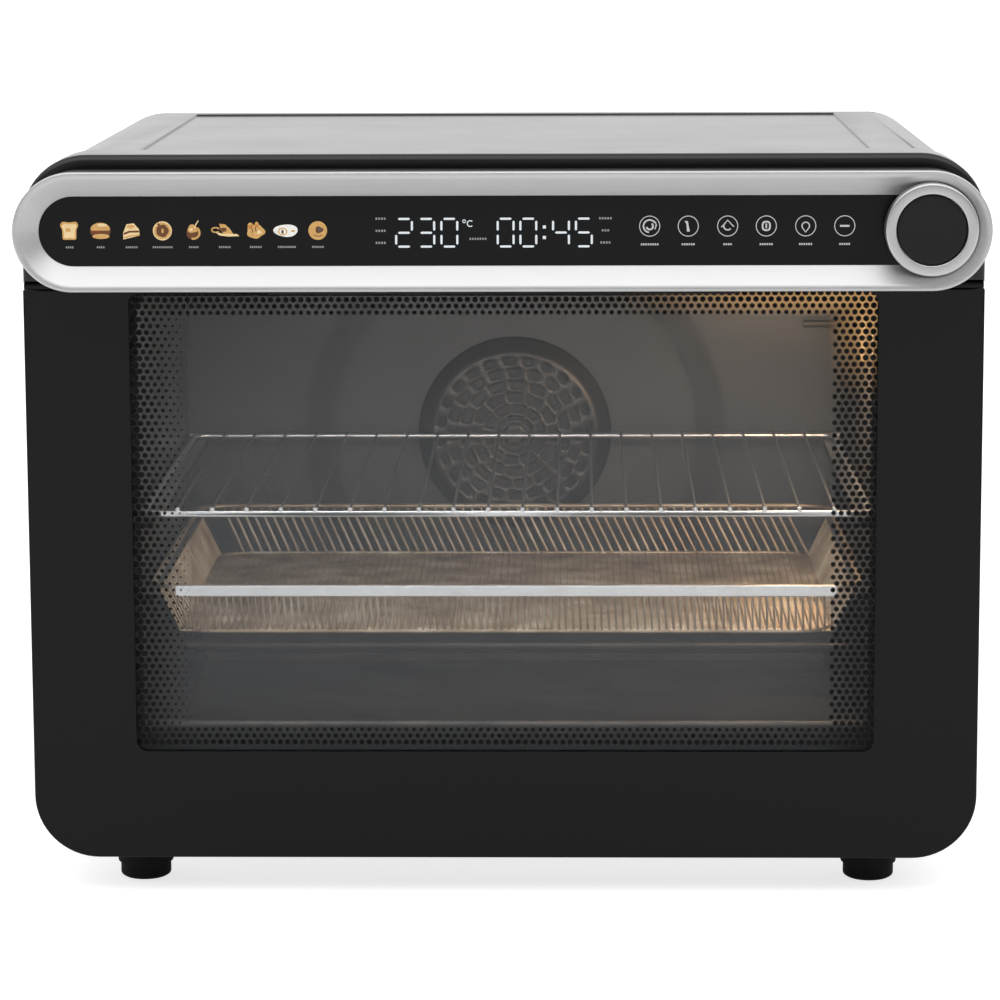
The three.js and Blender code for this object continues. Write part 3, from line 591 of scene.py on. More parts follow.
# Rings of unit radius on those two directions: cos a times one, plus sin a times the other
def unitRings(side, normal, angle):
    return np.cos(angle)[None, :, None] * side[:, None] + np.sin(angle)[None, :, None] * normal[:, None]


# A round wire along a path: each ring lies across the path's tangent, on the tangent's
# cross products with a fixed direction; the end rings shrink to a point
def tube(path, radius, sides=10, closed=False, flat=(0, 0, 1)):
    path = np.array(path, float)
    if closed:
        tangent = np.roll(path, -1, axis=0) - np.roll(path, 1, axis=0)
    else:
        tangent = np.gradient(path, axis=0)
    tangent /= np.linalg.norm(tangent, axis=1)[:, None]
    side, normal = squareTo(tangent, flat)
    sizes = np.full(len(path), radius)
    if not closed:
        path = np.concatenate([path[:1], path, path[-1:]])
        side, normal = (np.concatenate([each[:1], each, each[-1:]]) for each in (side, normal))
        sizes = np.concatenate([[0], sizes, [0]])
    ring = unitRings(side, normal, np.linspace(0, 2 * math.pi, sides, endpoint=False))
    points = path[:, None] + sizes[:, None, None] * ring
    return points.reshape(-1, 3), gridFaces(len(path), sides, closeRows=closed)


# Many straight bars at once, each an even-sided prism between two points
def bars(starts, ends, radii, sides=6):
    starts, ends = np.array(starts, float), np.array(ends, float)
    radii = np.broadcast_to(radii, len(starts))
    tangent = (ends - starts) / np.linalg.norm(ends - starts, axis=1)[:, None]
    angle = np.linspace(0, 2 * math.pi, sides, endpoint=False) + math.pi / sides
    ring = unitRings(*squareTo(tangent, (0, 0, 1)), angle) * radii[:, None, None]
    points = np.stack([starts[:, None] + ring, ends[:, None] + ring], axis=1)
    corner = np.arange(sides)
    walls = gridFaces(2, sides)
    fan = [[0, 2 * k + 1, 2 * k + 2, 2 * k + 3] for k in range(sides // 2 - 1)]
    caps = np.array([face[::-1] for face in fan] + [[corner + sides for corner in face] for face in fan])
    one = np.concatenate([walls, caps])
    faces = one[None] + (np.arange(len(starts)) * 2 * sides)[:, None, None]
    return points.reshape(-1, 3), faces.reshape(-1, 4)


# A flat outline of (x, z) points given a thickness between two places on y
def plate(outline, y0, y1):
    outline = np.array(outline, float)
    count = len(outline)
    points = np.concatenate([np.insert(outline, 1, y, axis=1) for y in (y0, y1)])
    corner = np.arange(count)
    return points, [*gridFaces(2, count).tolist(), corner[::-1].tolist(), (corner + count).tolist()]


# A closed section of (y, z) carried across from -half to half, with flat ends
def beam(section, half):
    points = np.concatenate([np.insert(section, 0, x, axis=1) for x in (-half, half)])
    count = len(section)
    corner = np.arange(count)
    return points, [*gridFaces(2, count).tolist(), corner.tolist(), (corner + count)[::-1].tolist()]


def readPoints(mesh):
    points = np.empty(len(mesh.vertices) * 3)
    mesh.vertices.foreach_get("co", points)
    return points.reshape(-1, 3)


def finishMesh(mesh, smoothAngle, recalculate=False, flatten=False):
    work = bmesh.new()
    work.from_mesh(mesh)
    bmesh.ops.remove_doubles(work, verts=work.verts, dist=1e-6)
    if recalculate:
        bmesh.ops.recalc_face_normals(work, faces=work.faces)
    if flatten:
        bmesh.ops.dissolve_limit(work, angle_limit=math.radians(0.6), verts=work.verts, edges=work.edges)
    work.to_mesh(mesh)
    work.free()
    mesh.polygons.foreach_set("use_smooth", np.ones(len(mesh.polygons), bool))
    mesh.set_sharp_from_angle(angle=math.radians(smoothAngle))


def addPiece(name, mesh, body, material, stands):
    mesh.materials.clear()
    mesh.materials.append(material)
    piece = addObject(name, mesh)
    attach(piece, body)
    if stands:
        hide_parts(*stands)
    return piece


def makePiece(name, shapes, body, material, stands=(), smoothAngle=35):
    points, faces = joined(shapes)
    mesh = bpy.data.meshes.new(name)
    mesh.from_pydata(points.tolist(), [], faces)
    finishMesh(mesh, smoothAngle, recalculate=True)
    return addPiece(name, mesh, body, material, stands)


# A CAD node's own shape with its edges eased: the copy is merged, its flat faces are
# joined up, and its sharp edges are rounded; wideEdge picks the edges of full width
def ease(
    node, name, body, material,
    width=0.6 * mm, smoothAngle=32, wideEdge=None, narrow=0.3, reshape=None,
):
    mesh = cadNodes[node].data.copy()
    mesh.name = name
    if reshape:
        mesh.vertices.foreach_set("co", reshape(readPoints(mesh)).ravel())
    finishMesh(mesh, smoothAngle, flatten=width > 0)
    piece = addPiece(name, mesh, body, material, [node])
    if width:
        if wideEdge:
            edges = np.empty(len(mesh.edges) * 2, int)
            mesh.edges.foreach_get("vertices", edges)
            wide = wideEdge(readPoints(mesh))[edges.reshape(-1, 2)].all(axis=1)
            weights = mesh.attributes.new("bevel_weight_edge", "FLOAT", "EDGE")
            sharp = np.zeros(len(mesh.edges), bool)
            mesh.attributes["sharp_edge"].data.foreach_get("value", sharp)
            share = np.where(wide, 1.0, narrow)
            weights.data.foreach_set("value", np.where(sharp, share, 0.0))
        bevel = piece.modifiers.new("eased edges", "BEVEL")
        bevel.width = width
        bevel.segments = 3
        bevel.limit_method = "WEIGHT" if wideEdge else "ANGLE"
        bevel.angle_limit = math.radians(smoothAngle)
        bevel.use_clamp_overlap = False
    piece.modifiers.new("even shading", "WEIGHTED_NORMAL").keep_sharp = True
    return piece


def atDoor(y):
    return doorY + y * mm


# ---- Body ----

bezelShape = {"edge": 3.0 * mm, "innerShare": 0.25, "reach": 0.01 * mm}
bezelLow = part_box("front_frame")[0]


def onFront(points):
    return points[:, 1] < bezelLow.y + bezelShape["reach"]


ease(
    "front_frame", "bezel", "oven_body", bezelBlack, bezelShape["edge"],
    wideEdge=onFront, narrow=bezelShape["innerShare"],
)
ease("outer_casing", "casing_shell", "oven_body", paint, 0)
ease("rear_cover", "back_panel", "oven_body", paint, 0)

footShape = {
    "radius": 15, "waist": 13.6, "sole": 11, "heel": 1.6, "step": 8.5,
    "fillets": [0, 1, 1.2, 0.5, 1, 0.6, 0],
}


# A turned foot: a wide collar above a narrower rounded sole
def makeFeet():
    names = ("radius", "waist", "sole", "heel", "step")
    wide, waist, sole, heel, step = (footShape[name] * mm for name in names)
    for end in ("front", "rear"):
        for side in ("left", "right"):
            node = f"foot_{end}_{side}"
            low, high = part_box(node)
            top = high.z
            corners = [
                (0, 0), (sole, 0), (waist, heel), (waist, step), (wide, step), (wide, top), (0, top),
            ]
            profile = filleted(corners, [radius * mm for radius in footShape["fillets"]], closed=False)
            centre = ((low.x + high.x) / 2, (low.y + high.y) / 2, 0)
            shape = turned(profile, "z", centre, 48)
            makePiece(f"{node}_turned", [shape], "oven_body", rubber, [node])


makeFeet()
print("body done")


# ---- Control panel ----

trimShape = {
    "lip": 2.7 * mm, "opening": 17.9 * mm, "bevel": 7.5 * mm, "roundOver": 1.1 * mm, "crown": 1.5 * mm,
    "lap": 3.6 * mm, "metal": 2.4 * mm, "inset": 0.25 * mm,
}


# Satin face: a rounded lip outside, a wide bevel down to the panel, and a pocket behind;
# a black band behind its lip carries it
def makeTrim():
    front, back = trimLow.y, trimHigh.y
    lip, opening = trimRadius - trimShape["lip"], trimShape["opening"]
    ledge = front + trimShape["bevel"]
    pocket = opening + trimShape["lap"]
    step = front + trimShape["metal"]
    outer = trimRadius - trimShape["inset"]
    corners = [
        (trimRadius, front), (lip, front), (opening, ledge), (opening, ledge + 0.6 * mm),
        (pocket, ledge + 0.6 * mm), (pocket, back), (lip, back), (lip, step), (trimRadius, step),
    ]
    radii = [trimShape["roundOver"], trimShape["crown"], 0.25 * mm, 0, 0, 0.3 * mm, 0, 0, 0.3 * mm]
    face = [roundPanel(filleted(corners, radii, 6))]
    makePiece("panel_trim", face, "oven_body", satin, ["control_trim"])
    band = [(outer, step), (lip, step), (lip, back), (outer, back)]
    side = [roundPanel(filleted(band, [0, 0, 0, 0.6 * mm], 3))]
    makePiece("trim_band", side, "oven_body", moulded)


sealShape = {
    "half": 249.4, "front": 0.3, "step": 13.0, "rear": 26.0, "low": 0.2, "lowRear": 0.8, "top": 3.2,
    "round": 0.2,
}


# A strip under the header closes the gap over the door: a section of (y, z) carried across
def makeSeal():
    size = {key: value * mm for key, value in sealShape.items()}
    section = np.array([
        (size["front"], size["low"]), (size["step"], size["low"]), (size["rear"], size["lowRear"]),
        (size["rear"], size["top"]), (size["front"], size["top"]),
    ]) + (doorY, doorHigh.z)
    section = filleted(section, [size["round"]] * len(section), 2)
    makePiece("header_seal", [beam(section, size["half"])], "oven_body", black)


dialShape = {
    "wall": 5.4 * mm, "web": 1.6 * mm, "hub": 5 * mm, "stem": 2.7 * mm, "webBack": 10 * mm,
    "back": 0.4 * mm, "nose": 1.3 * mm, "mouth": 0.6 * mm,
}


def makeDial():
    front, back = dialLow.y, dialHigh.y
    radius = (dialHigh.z - dialLow.z) / 2
    bore = radius - dialShape["wall"]
    web = front + dialShape["webBack"]
    stem, hub, webFront = dialShape["stem"], dialShape["hub"], web - dialShape["web"]
    corners = [
        (bore, webFront), (stem, webFront), (stem, back), (hub, back), (hub, web),
        (radius, web), (radius, front), (bore, front),
    ]
    radii = [0, 0, 0, 0, 0, dialShape["back"], dialShape["nose"], dialShape["mouth"]]
    section = filleted(corners, radii, 5)
    points, _ = turned(section, "y", (dialX, 0, dialZ), 96)
    shape = (points, gridFaces(len(section), 96, closeRows=True))
    makePiece("dial_knob", [shape], "dial", turnedSatin, ["dial_ring"])


buttonShape = {
    "disc": 3.4 * mm, "stem": 2.2 * mm, "dish": 0.5 * mm, "rim": 2 * mm, "round": 1.0 * mm,
    "back": 0.3 * mm,
}


# A shallow dish: its depth falls from the rim to the middle as a cosine
def makeButton():
    low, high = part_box("dial_button")
    radius, front, back = (high.z - low.z) / 2, low.y, high.y
    t = np.linspace(0, 1, 14)
    dished, stem = radius - buttonShape["rim"], buttonShape["stem"]
    depth = buttonShape["dish"] * (0.5 + 0.5 * np.cos(t * math.pi))
    face = np.stack([t * dished, front + depth], axis=1)
    rear = front + buttonShape["disc"]
    corners = [(dished, front), (radius, front), (radius, rear), (stem, rear), (stem, back)]
    rim = filleted(corners, [0, buttonShape["round"], buttonShape["back"], 0, 0], closed=False)
    profile = np.concatenate([face, rim[1:], [(0, back)]])
    shape = turned(profile, "y", (dialX, 0, dialZ), 72)
    makePiece("start_button", [shape], "button", moulded, ["dial_button"])


makeTrim()
makeSeal()
makeDial()
makeButton()
ease("control_fascia", "touch_panel", "oven_body", panel, 0.3 * mm)
ease("control_housing", "panel_housing", "oven_body", moulded, 0.8 * mm)
ease("door_pull", "pull_lip", "door", moulded, 0.35 * mm)
print("control panel done")


# ---- Symbols, digits and touch keys printed on the panel ----

# layers stand a little apart, so that one ink covers another
film = {"layer": 0.06 * mm, "sunk": 0.02 * mm}


def printed(outline, layer=1):
    return plate(np.array(outline) * mm, fasciaLow.y - film["layer"] * layer, fasciaLow.y + film["sunk"])


def moved(outline, x, z, turn=0):
    c, s = math.cos(turn), math.sin(turn)
    return np.array(outline) @ np.array([[c, s], [-s, c]]) + np.array([x, z])


# An ellipse whose radius swells and shrinks with the angle by the given waves (count, share, phase)
def blob(wide, high, *waves, steps=28):
    angle = np.linspace(0, 2 * math.pi, steps, endpoint=False)
    size = 1 + sum(share * np.cos(count * angle + phase) for count, share, phase in waves)
    return np.stack([wide * size * np.cos(angle), high * size * np.sin(angle)], axis=1)


def strip(x0, x1, z0, z1):
    return np.array([(x0, z0), (x1, z0), (x1, z1), (x0, z1)])


# A band of even width along a curve: the curve moved out on one side and back on the other
def stroke(curve, width):
    curve = np.array(curve, float)
    along = np.gradient(curve, axis=0)
    along /= np.linalg.norm(along, axis=1)[:, None]
    out = np.stack([-along[:, 1], along[:, 0]], axis=1) * width / 2
    return np.concatenate([curve + out, (curve - out)[::-1]])


def arc(radius, start, end, steps=14, squash=1.0):
    angle = np.linspace(start, end, steps)
    return np.stack([radius * np.cos(angle), squash * radius * np.sin(angle)], axis=1)


# A ring is a rectangle turned about the y axis through (x, z)
def ringPrint(x, z, radius, width, steps=40):
    y0, y1 = fasciaLow.y - film["layer"], fasciaLow.y + film["sunk"]
    inner, outer = (radius - width / 2) * mm, (radius + width / 2) * mm
    section = [(outer, y0), (inner, y0), (inner, y1), (outer, y1)]
    points, _ = turned(section, "y", (x * mm, 0, z * mm), steps)
    return points, gridFaces(4, steps, closeRows=True)


food = {"first": -221.5, "last": -94.0, "z": 357.0, "caption": 348.6, "captionHeight": 1.0}
foodPlaces = np.linspace(food["first"], food["last"], 9)


# Nine small pictures of food; each entry is (ink, outline, layer) about the picture's middle
def foodPictures():
    turn = math.pi
    bread = [
        (-3.5, -4.5), (3.5, -4.5), (3.7, 1.0), (4.9, 2.6), (4.0, 5.0), (0, 4.3), (-4.0, 5.0),
        (-4.9, 2.6), (-3.7, 1.0),
    ]
    toast = filleted(bread, [0.9, 0.9, 0.8, 1.2, 1.6, 1.2, 1.6, 1.2, 0.8], 3)
    yield 0, [
        ("gold", toast, 1), ("pale", toast * 0.8, 2), ("gold", moved(blob(1.5, 1.0), -0.6, 0.6), 3),
    ]
    bunTop = np.concatenate([arc(5.0, 0, turn, 16, 0.85), [(-4.6, -0.9), (4.6, -0.9)]])
    yield 1, [
        ("brown", blob(5.2, 3.9, (2, 0.02, 0)), 1), ("gold", moved(bunTop * (1, 0.78), 0, 0.9), 2),
        ("pale", moved(blob(2.6, 0.8), 1.0, 3.0), 3), ("gold", moved(blob(4.4, 1.3), 0.3, -2.8), 2),
        ("red", moved(strip(-3.2, 0.6, -0.4, 0.5), -0.6, -0.3, 0.12), 3),
    ]
    wedge = [(-4.2, -4.4), (-4.2, -0.9), (-2.4, 3.4), (1.2, 3.9), (4.0, 0.8), (4.2, -2.4)]
    yield 2, [
        ("pale", wedge, 1), ("brown", stroke([(-3.9, -1.6), (-1.0, -0.4), (3.9, -0.3)], 1.0), 2),
        ("gold", moved(blob(2.0, 1.0), -0.4, 2.2), 2),
        ("gold", stroke([(-4.0, -3.6), (0, -2.5), (4.1, -2.2)], 0.7), 2),
    ]
    yield 3, [
        ("pale", blob(4.9, 4.9), 1), ("gold", blob(4.3, 4.3), 2), ("brown", blob(3.2, 3.2, (5, 0.05, 0)), 3),
        ("gold", moved(blob(0.6, 1.2), 0.1, 0), 4),
        ("brown", moved(strip(-0.5, 0.5, 0, 2.2), -1.0, 2.0, 0.6), 4),
    ]
    yield 4, [
        ("brown", moved(blob(3.7, 3.4, (3, 0.06, 0.4)), 0, -1.0), 1),
        ("gold", moved(blob(2.6, 2.1, (3, 0.12, 1)), -0.4, 1.0), 2),
        ("gold", moved(stroke(arc(3.1, -1.9, 0.9), 1.0), 0, -1.0), 2),
        ("pale", moved(blob(0.9, 0.7), -1.2, 0.6), 3),
        ("pale", stroke([(0.5, 1.4), (1.3, 3.2), (2.6, 5.2)], 0.5), 3),
    ]
    plateRim = [
        (-4.8, -0.6), (-2.6, -2.4), (2.0, -3.0), (7.6, -2.8), (6.4, -1.7), (3.6, -1.6), (-1.0, -1.5),
    ]
    yield 5, [
        ("gold", [(-2.7, 3.6), (-1.8, 0.2), (-0.6, -1.6), (4.6, -1.9), (2.6, 1.2), (0.4, 3.2)], 1),
        ("gold", stroke(arc(2.0, 0.3, 5.6, 16, 0.6) + (-4.6, 0.4), 0.7), 1),
        ("brown", moved(blob(1.8, 1.1), -0.6, 0.5), 2),
        ("pale", plateRim, 2),
    ]
    yield 6, [
        ("gold", moved(blob(4.6, 3.6, (5, 0.07, 0.5), (3, 0.05, 0)), 0, -0.4), 1),
        ("gold", moved(blob(1.4, 1.5), -2.6, 2.6), 1),
        ("gold", moved(blob(1.0, 1.4), 0.6, 3.2), 1), ("pale", moved(blob(1.3, 1.0), 1.8, -0.8), 2),
        ("brown", stroke([(0.2, 2.4), (-0.1, 0.6), (0.5, -0.8)], 0.45), 2),
        ("brown", stroke([(-2.2, 1.2), (-1.4, 0.2), (-1.6, -1.0)], 0.4), 2),
    ]
    yield 7, [
        ("white", blob(6.0, 3.3, (2, 0.04, 0), (1, -0.06, 0), (3, -0.05, 0.5)), 1),
        ("gold", moved(blob(2.4, 2.0), -2.0, -0.5), 2), ("white", moved(blob(1.7, 1.4), -2.0, -0.5), 3),
        ("brown", moved(blob(0.6, 1.1), -2.1, -0.6), 4),
        ("gold", moved(strip(-0.9, 0.9, -0.5, 0.5), 3.3, -0.2), 2),
    ]
    yield 8, [
        ("gold", blob(4.8, 4.8), 1), ("brown", moved(blob(2.0, 1.7, (3, 0.1, 0)), 0.7, 0.4), 2),
        ("grey", moved(blob(0.9, 0.9), 1.0, 0.7), 3),
        ("brown", stroke(arc(3.0, -2.4, -0.8) + (0.2, 0), 0.35), 2),
    ]


inks = {
    "gold": ((0.62, 0.36, 0.12), 0.45), "pale": ((0.8, 0.6, 0.32), 0.5), "brown": ((0.16, 0.06, 0.02), 0.25),
    "red": ((0.3, 0.05, 0.02), 0.3), "white": ((0.75, 0.74, 0.7), 0.6), "grey": ((0.09, 0.09, 0.1), 0.4),
}


def makeFood():
    shapes = {name: [] for name in inks}
    for index, layers in foodPictures():
        for name, outline, layer in layers:
            shapes[name].append(printed(moved(outline, foodPlaces[index], food["z"]), layer))
    for name, (colour, strength) in inks.items():
        look = ink(f"ink_{name}", colour, strength)
        makePiece(f"food_print_{name}", shapes[name], "oven_body", look)


# Captions are rows of plain ticks, with no letters
def ticks(x, z, count, width=0.75, gap=0.42, height=1.0):
    step = width + gap
    first = x - (count * step - gap) / 2
    starts = [first + k * step for k in range(count)]
    return [printed(strip(x0, x0 + width, z - height / 2, z + height / 2)) for x0 in starts]


touch = {
    "places": [75.8, 95.5, 115.6, 135.3, 155.4, 175.3], "captions": [8, 6, 4, 6, 6, 5],
    "z": 358.9, "ring": 5.15, "line": 0.42, "captionZ": 349.6,
}


def touchKeys():
    z = touch["z"]
    turn = math.pi
    pan = blob(2.0, 2.3, (4, 0.06, turn))
    glyphs = [
        [
            stroke(arc(3.2, 0.6, 4.6), 0.8), stroke(arc(1.7, 3.4, 7.2), 0.9),
            stroke([(2.6, -1.6), (3.4, 0.4), (2.8, 2.4)], 0.6),
        ],
        [[(-1.9, 2.6), (-0.2, 2.6), (0.8, -2.8), (-0.7, -2.8), (-0.9, 1.0)]],
        [stroke([(-3.2, -0.6), (0, 3.0), (3.2, -0.4)], 0.6), stroke(arc(2.0, 2.2, 5.6), 0.7)],
        [stroke(np.vstack([pan, pan[:1]]), 0.9), strip(-0.4, 0.4, -1.2, 1.2)],
        [stroke(np.vstack([arc(1.9, -0.5, turn + 0.5, 18), [(0, -3.2)], arc(1.9, -0.5, 0, 2)[:1]]), 0.6)],
        [strip(-2.4, 2.4, -0.55, 0.45)],
    ]
    for x, outlines, count in zip(touch["places"], glyphs, touch["captions"]):
        yield ringPrint(x, z, touch["ring"], touch["line"])
        for outline in outlines:
            yield printed(moved(outline, x, z))
        yield from ticks(x, touch["captionZ"], count)


# Seven bars, a to g: a figure lights the bars in its list
figure = {"width": 9.2, "height": 15.3, "bar": 1.1, "gap": 0.95, "low": 348.1}
litBars = {"0": "abcdef", "2": "abged", "3": "abgcd", "4": "fgbc", "5": "afgcd"}


# A bar is a long hexagon whose ends come to a point
def segment(x0, z0, x1, z1):
    half = figure["bar"] / 2
    start, end = np.array([x0, z0]), np.array([x1, z1])
    along = (end - start) / np.linalg.norm(end - start)
    out = np.array([-along[1], along[0]]) * half
    tip = along * half
    return np.array([start, start + tip + out, end - tip + out, end, end - tip - out, start + tip - out])


def digit(character, x):
    width, height, gap = figure["width"], figure["height"], figure["gap"]
    left, right = x + figure["bar"] / 2, x + width - figure["bar"] / 2
    low = figure["low"] + figure["bar"] / 2
    high = low + height - figure["bar"]
    middle = (low + high) / 2
    ends = {
        "a": (left + gap, high, right - gap, high), "b": (right, high - gap, right, middle + gap),
        "c": (right, middle - gap, right, low + gap), "d": (left + gap, low, right - gap, low),
        "e": (left, middle - gap, left, low + gap), "f": (left, high - gap, left, middle + gap),
        "g": (left + gap, middle, right - gap, middle),
    }
    return [printed(segment(*ends[bar])) for bar in litBars[character]]


# each figure of the temperature and of the time with its left edge, and the tick rows
# (x, z, count) beside them
readout = {
    "figures": [
        ("2", -54.4), ("3", -43.0), ("0", -31.2), ("0", -2.4), ("0", 9.2), ("4", 25.9), ("5", 37.6),
    ],
    "colon": {"x": (21.2, 22.8), "z": (353.2, 358.6), "half": 0.8},
    "degree": (-19.0, 361.6, 0.75, 0.4), "unit": (-15.9, 360.4),
    "rows": [
        (-61.8, 363.0, 4), (-61.8, 356.8, 4), (-61.8, 350.6, 4),
        (53.2, 363.0, 5), (53.2, 356.8, 3), (53.2, 350.6, 4),
    ],
    "captions": [4, 4, 6, 10, 5, 6, 6, 9, 6],
}


def makeReadout():
    lit = []
    for character, x in readout["figures"]:
        lit += digit(character, x)
    colon = readout["colon"]
    for z in colon["z"]:
        lit.append(printed(strip(*colon["x"], z - colon["half"], z + colon["half"])))
    lit.append(ringPrint(*readout["degree"], 16))
    lit.append(printed(moved(stroke(arc(1.5, 0.8, 2 * math.pi - 0.8), 0.5), *readout["unit"])))
    white = ink("lit_white", (0.55, 0.59, 0.62), 0.75, 0.9)
    makePiece("readout_digits", lit, "oven_body", white)
    small = ticks(-12.0, 352.6, 7, 0.8, 0.5, 1.1)
    for x, z, count in readout["rows"]:
        small += ticks(x, z, count, 0.9, 0.5, 1.1)
    for x, count in zip(foodPlaces, readout["captions"]):
        small += ticks(x, food["caption"], count, 0.7, 0.35, food["captionHeight"])
    makePiece("panel_ticks", small, "oven_body", ink("ink_tick", (0.3, 0.3, 0.3), 0.35))
    pale = ink("ink_symbol", (0.5, 0.5, 0.5), 0.45, 0.9)
    makePiece("touch_symbols", list(touchKeys()), "oven_body", pale)


makeFood()
makeReadout()
print("printed symbols done")


# ---- Door ----

# each edge of the window has dots over a number of pitches, of a first size that shrinks with each
dots = {
    "pitch": 3.95, "rowPitch": 3.42, "radius": 1.66, "half": 194.2, "low": 79.4, "high": 321.6,
    "right": (5.4, 1, 0.035), "left": (7.6, 1.1, 0.13), "top": (4, 1, 0.09), "bottom": (3, 0.9, 0.12),
}


# Rows of dots, staggered by half a pitch, that grow smaller away from the print
def dotField():
    pitch, rowPitch = dots["pitch"], dots["rowPitch"]
    rows = np.arange(int((dots["high"] - dots["low"]) / rowPitch) + 1)
    columns = np.arange(int(dots["half"] / pitch * 2) + 2)
    row, column = (grid.ravel() for grid in np.meshgrid(rows, columns))
    x = -dots["half"] + column * pitch + (row % 2) * pitch / 2
    z = dots["high"] - row * rowPitch
    fromRight, fromLeft = (dots["half"] - x) / pitch, (x + dots["half"]) / pitch
    inward = {"right": fromRight, "left": fromLeft, "top": row, "bottom": rows.max() - row}
    sizes = []
    for edge, steps in inward.items():
        reach, first, shrink = dots[edge]
        sizes.append(np.where(steps < reach, first - shrink * steps, 0))
    size = np.maximum.reduce(sizes)
    keep = (size > 0.05) & (fromRight > -0.2)
    centres = np.stack([x[keep] * mm, np.full(keep.sum(), atDoor(4.03)), z[keep] * mm], axis=1)
    return bars(centres, centres + (0, 0.12 * mm, 0), size[keep] * dots["radius"] * mm, 8)


ease("door_outer_glass", "front_glass", "door", printedGlass(), 0.8 * mm)
ease("door_inner_glass", "inner_glass", "door", veiledGlass(), 0.4 * mm)
makePiece("printed_dots", [dotField()], "door", dotPrint())
# an L-shaped glowing plate over the window's top right corner, as (x, z), behind the dots: painted lamplight
paintedGlowPlate = np.array([
    (45, 305), (166, 305), (166, 258), (194.8, 258), (194.8, 322.4), (45, 322.4),
]) * mm
makePiece("painted_print_glow", [plate(paintedGlowPlate, atDoor(4.19), atDoor(4.25))], "door", paintedCaughtLight())


# The window's top edge, and the wall above it, stand a little higher than the solid's
def raiseTop(low, high, rise):
    def reshape(points):
        band = (points[:, 2] > low * mm) & (points[:, 2] < high * mm)
        points[:, 2] += band * rise * mm
        return points

    return reshape


ease("door_frame", "door_core", "door", moulded, 0, reshape=raiseTop(316.5, 319.9, 3))
ease("door_liner", "inner_frame", "door", black, 0, reshape=raiseTop(315.5, 316.5, 2))
print("door done")


# ---- Inside the oven ----

rackShape = {
    "rail": 1.7, "wire": 0.75, "count": 20, "pitch": 18.55, "lift": 2.6, "nub": 1.25, "side": 195.5,
    "setBack": 2.6, "drop": 0.45, "corner": 9, "overhang": 0.4, "nubRise": 0.9,
}


# Wires lie on a round-cornered rail frame and bend down over its front rail
def makeRack():
    low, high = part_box("wire_rack")
    size = {key: value * mm for key, value in rackShape.items()}
    rail, side = size["rail"], size["side"]
    front, rear = low.y + size["setBack"], high.y - rail
    z = (low.z + high.z) / 2 - size["drop"]
    shapes, wires = [], []
    outline = [(-side, front), (side, front), (side, rear), (-side, rear)]
    loop = filleted(outline, [size["corner"]] * 4, 8)
    path = np.insert(loop, 2, z, axis=1)
    shapes.append(tube(path, rail, 12, closed=True))
    ends = np.array([(-high.x, rear, z), (high.x, rear, z)])
    shapes.append(bars(ends[:1], ends[1:], rail, 10))
    top = z + size["lift"]
    bend = np.linspace((front + size["overhang"], top), (rear, top), 6)
    for k in range(rackShape["count"]):
        x = (k - (rackShape["count"] - 1) / 2) * size["pitch"]
        wires.append(tube(np.insert(bend, 0, x, axis=1), size["wire"], 8, flat=(1, 0, 0)))
        bead = np.array([(x, front, z), (x, front, top + size["nubRise"])])
        shapes.append(tube(bead, size["nub"], 10, flat=(1, 0, 0)))
    makePiece("rack_rails", shapes, "wire_rack", chrome, ["wire_rack"], 50)
    # the cross wires take the darker copy of the chrome, as painted shade
    makePiece("rack_wires", wires, "wire_rack", shadedWire, (), 50)


basketShape = {
    "rim": 1.6, "wire": 0.62, "pitch": 5.6, "lean": 14, "mesh": 3.9, "slope": 14, "corner": 22,
    "side": 3, "front": 4, "margin": 4, "barHeight": 6, "barDepth": 3, "barRound": 0.8, "barEnd": 17,
}


# Points from x, y and z, where a single number is repeated for every point
def spots(x, y, z):
    return np.stack(np.broadcast_arrays(x, y, z), axis=1)


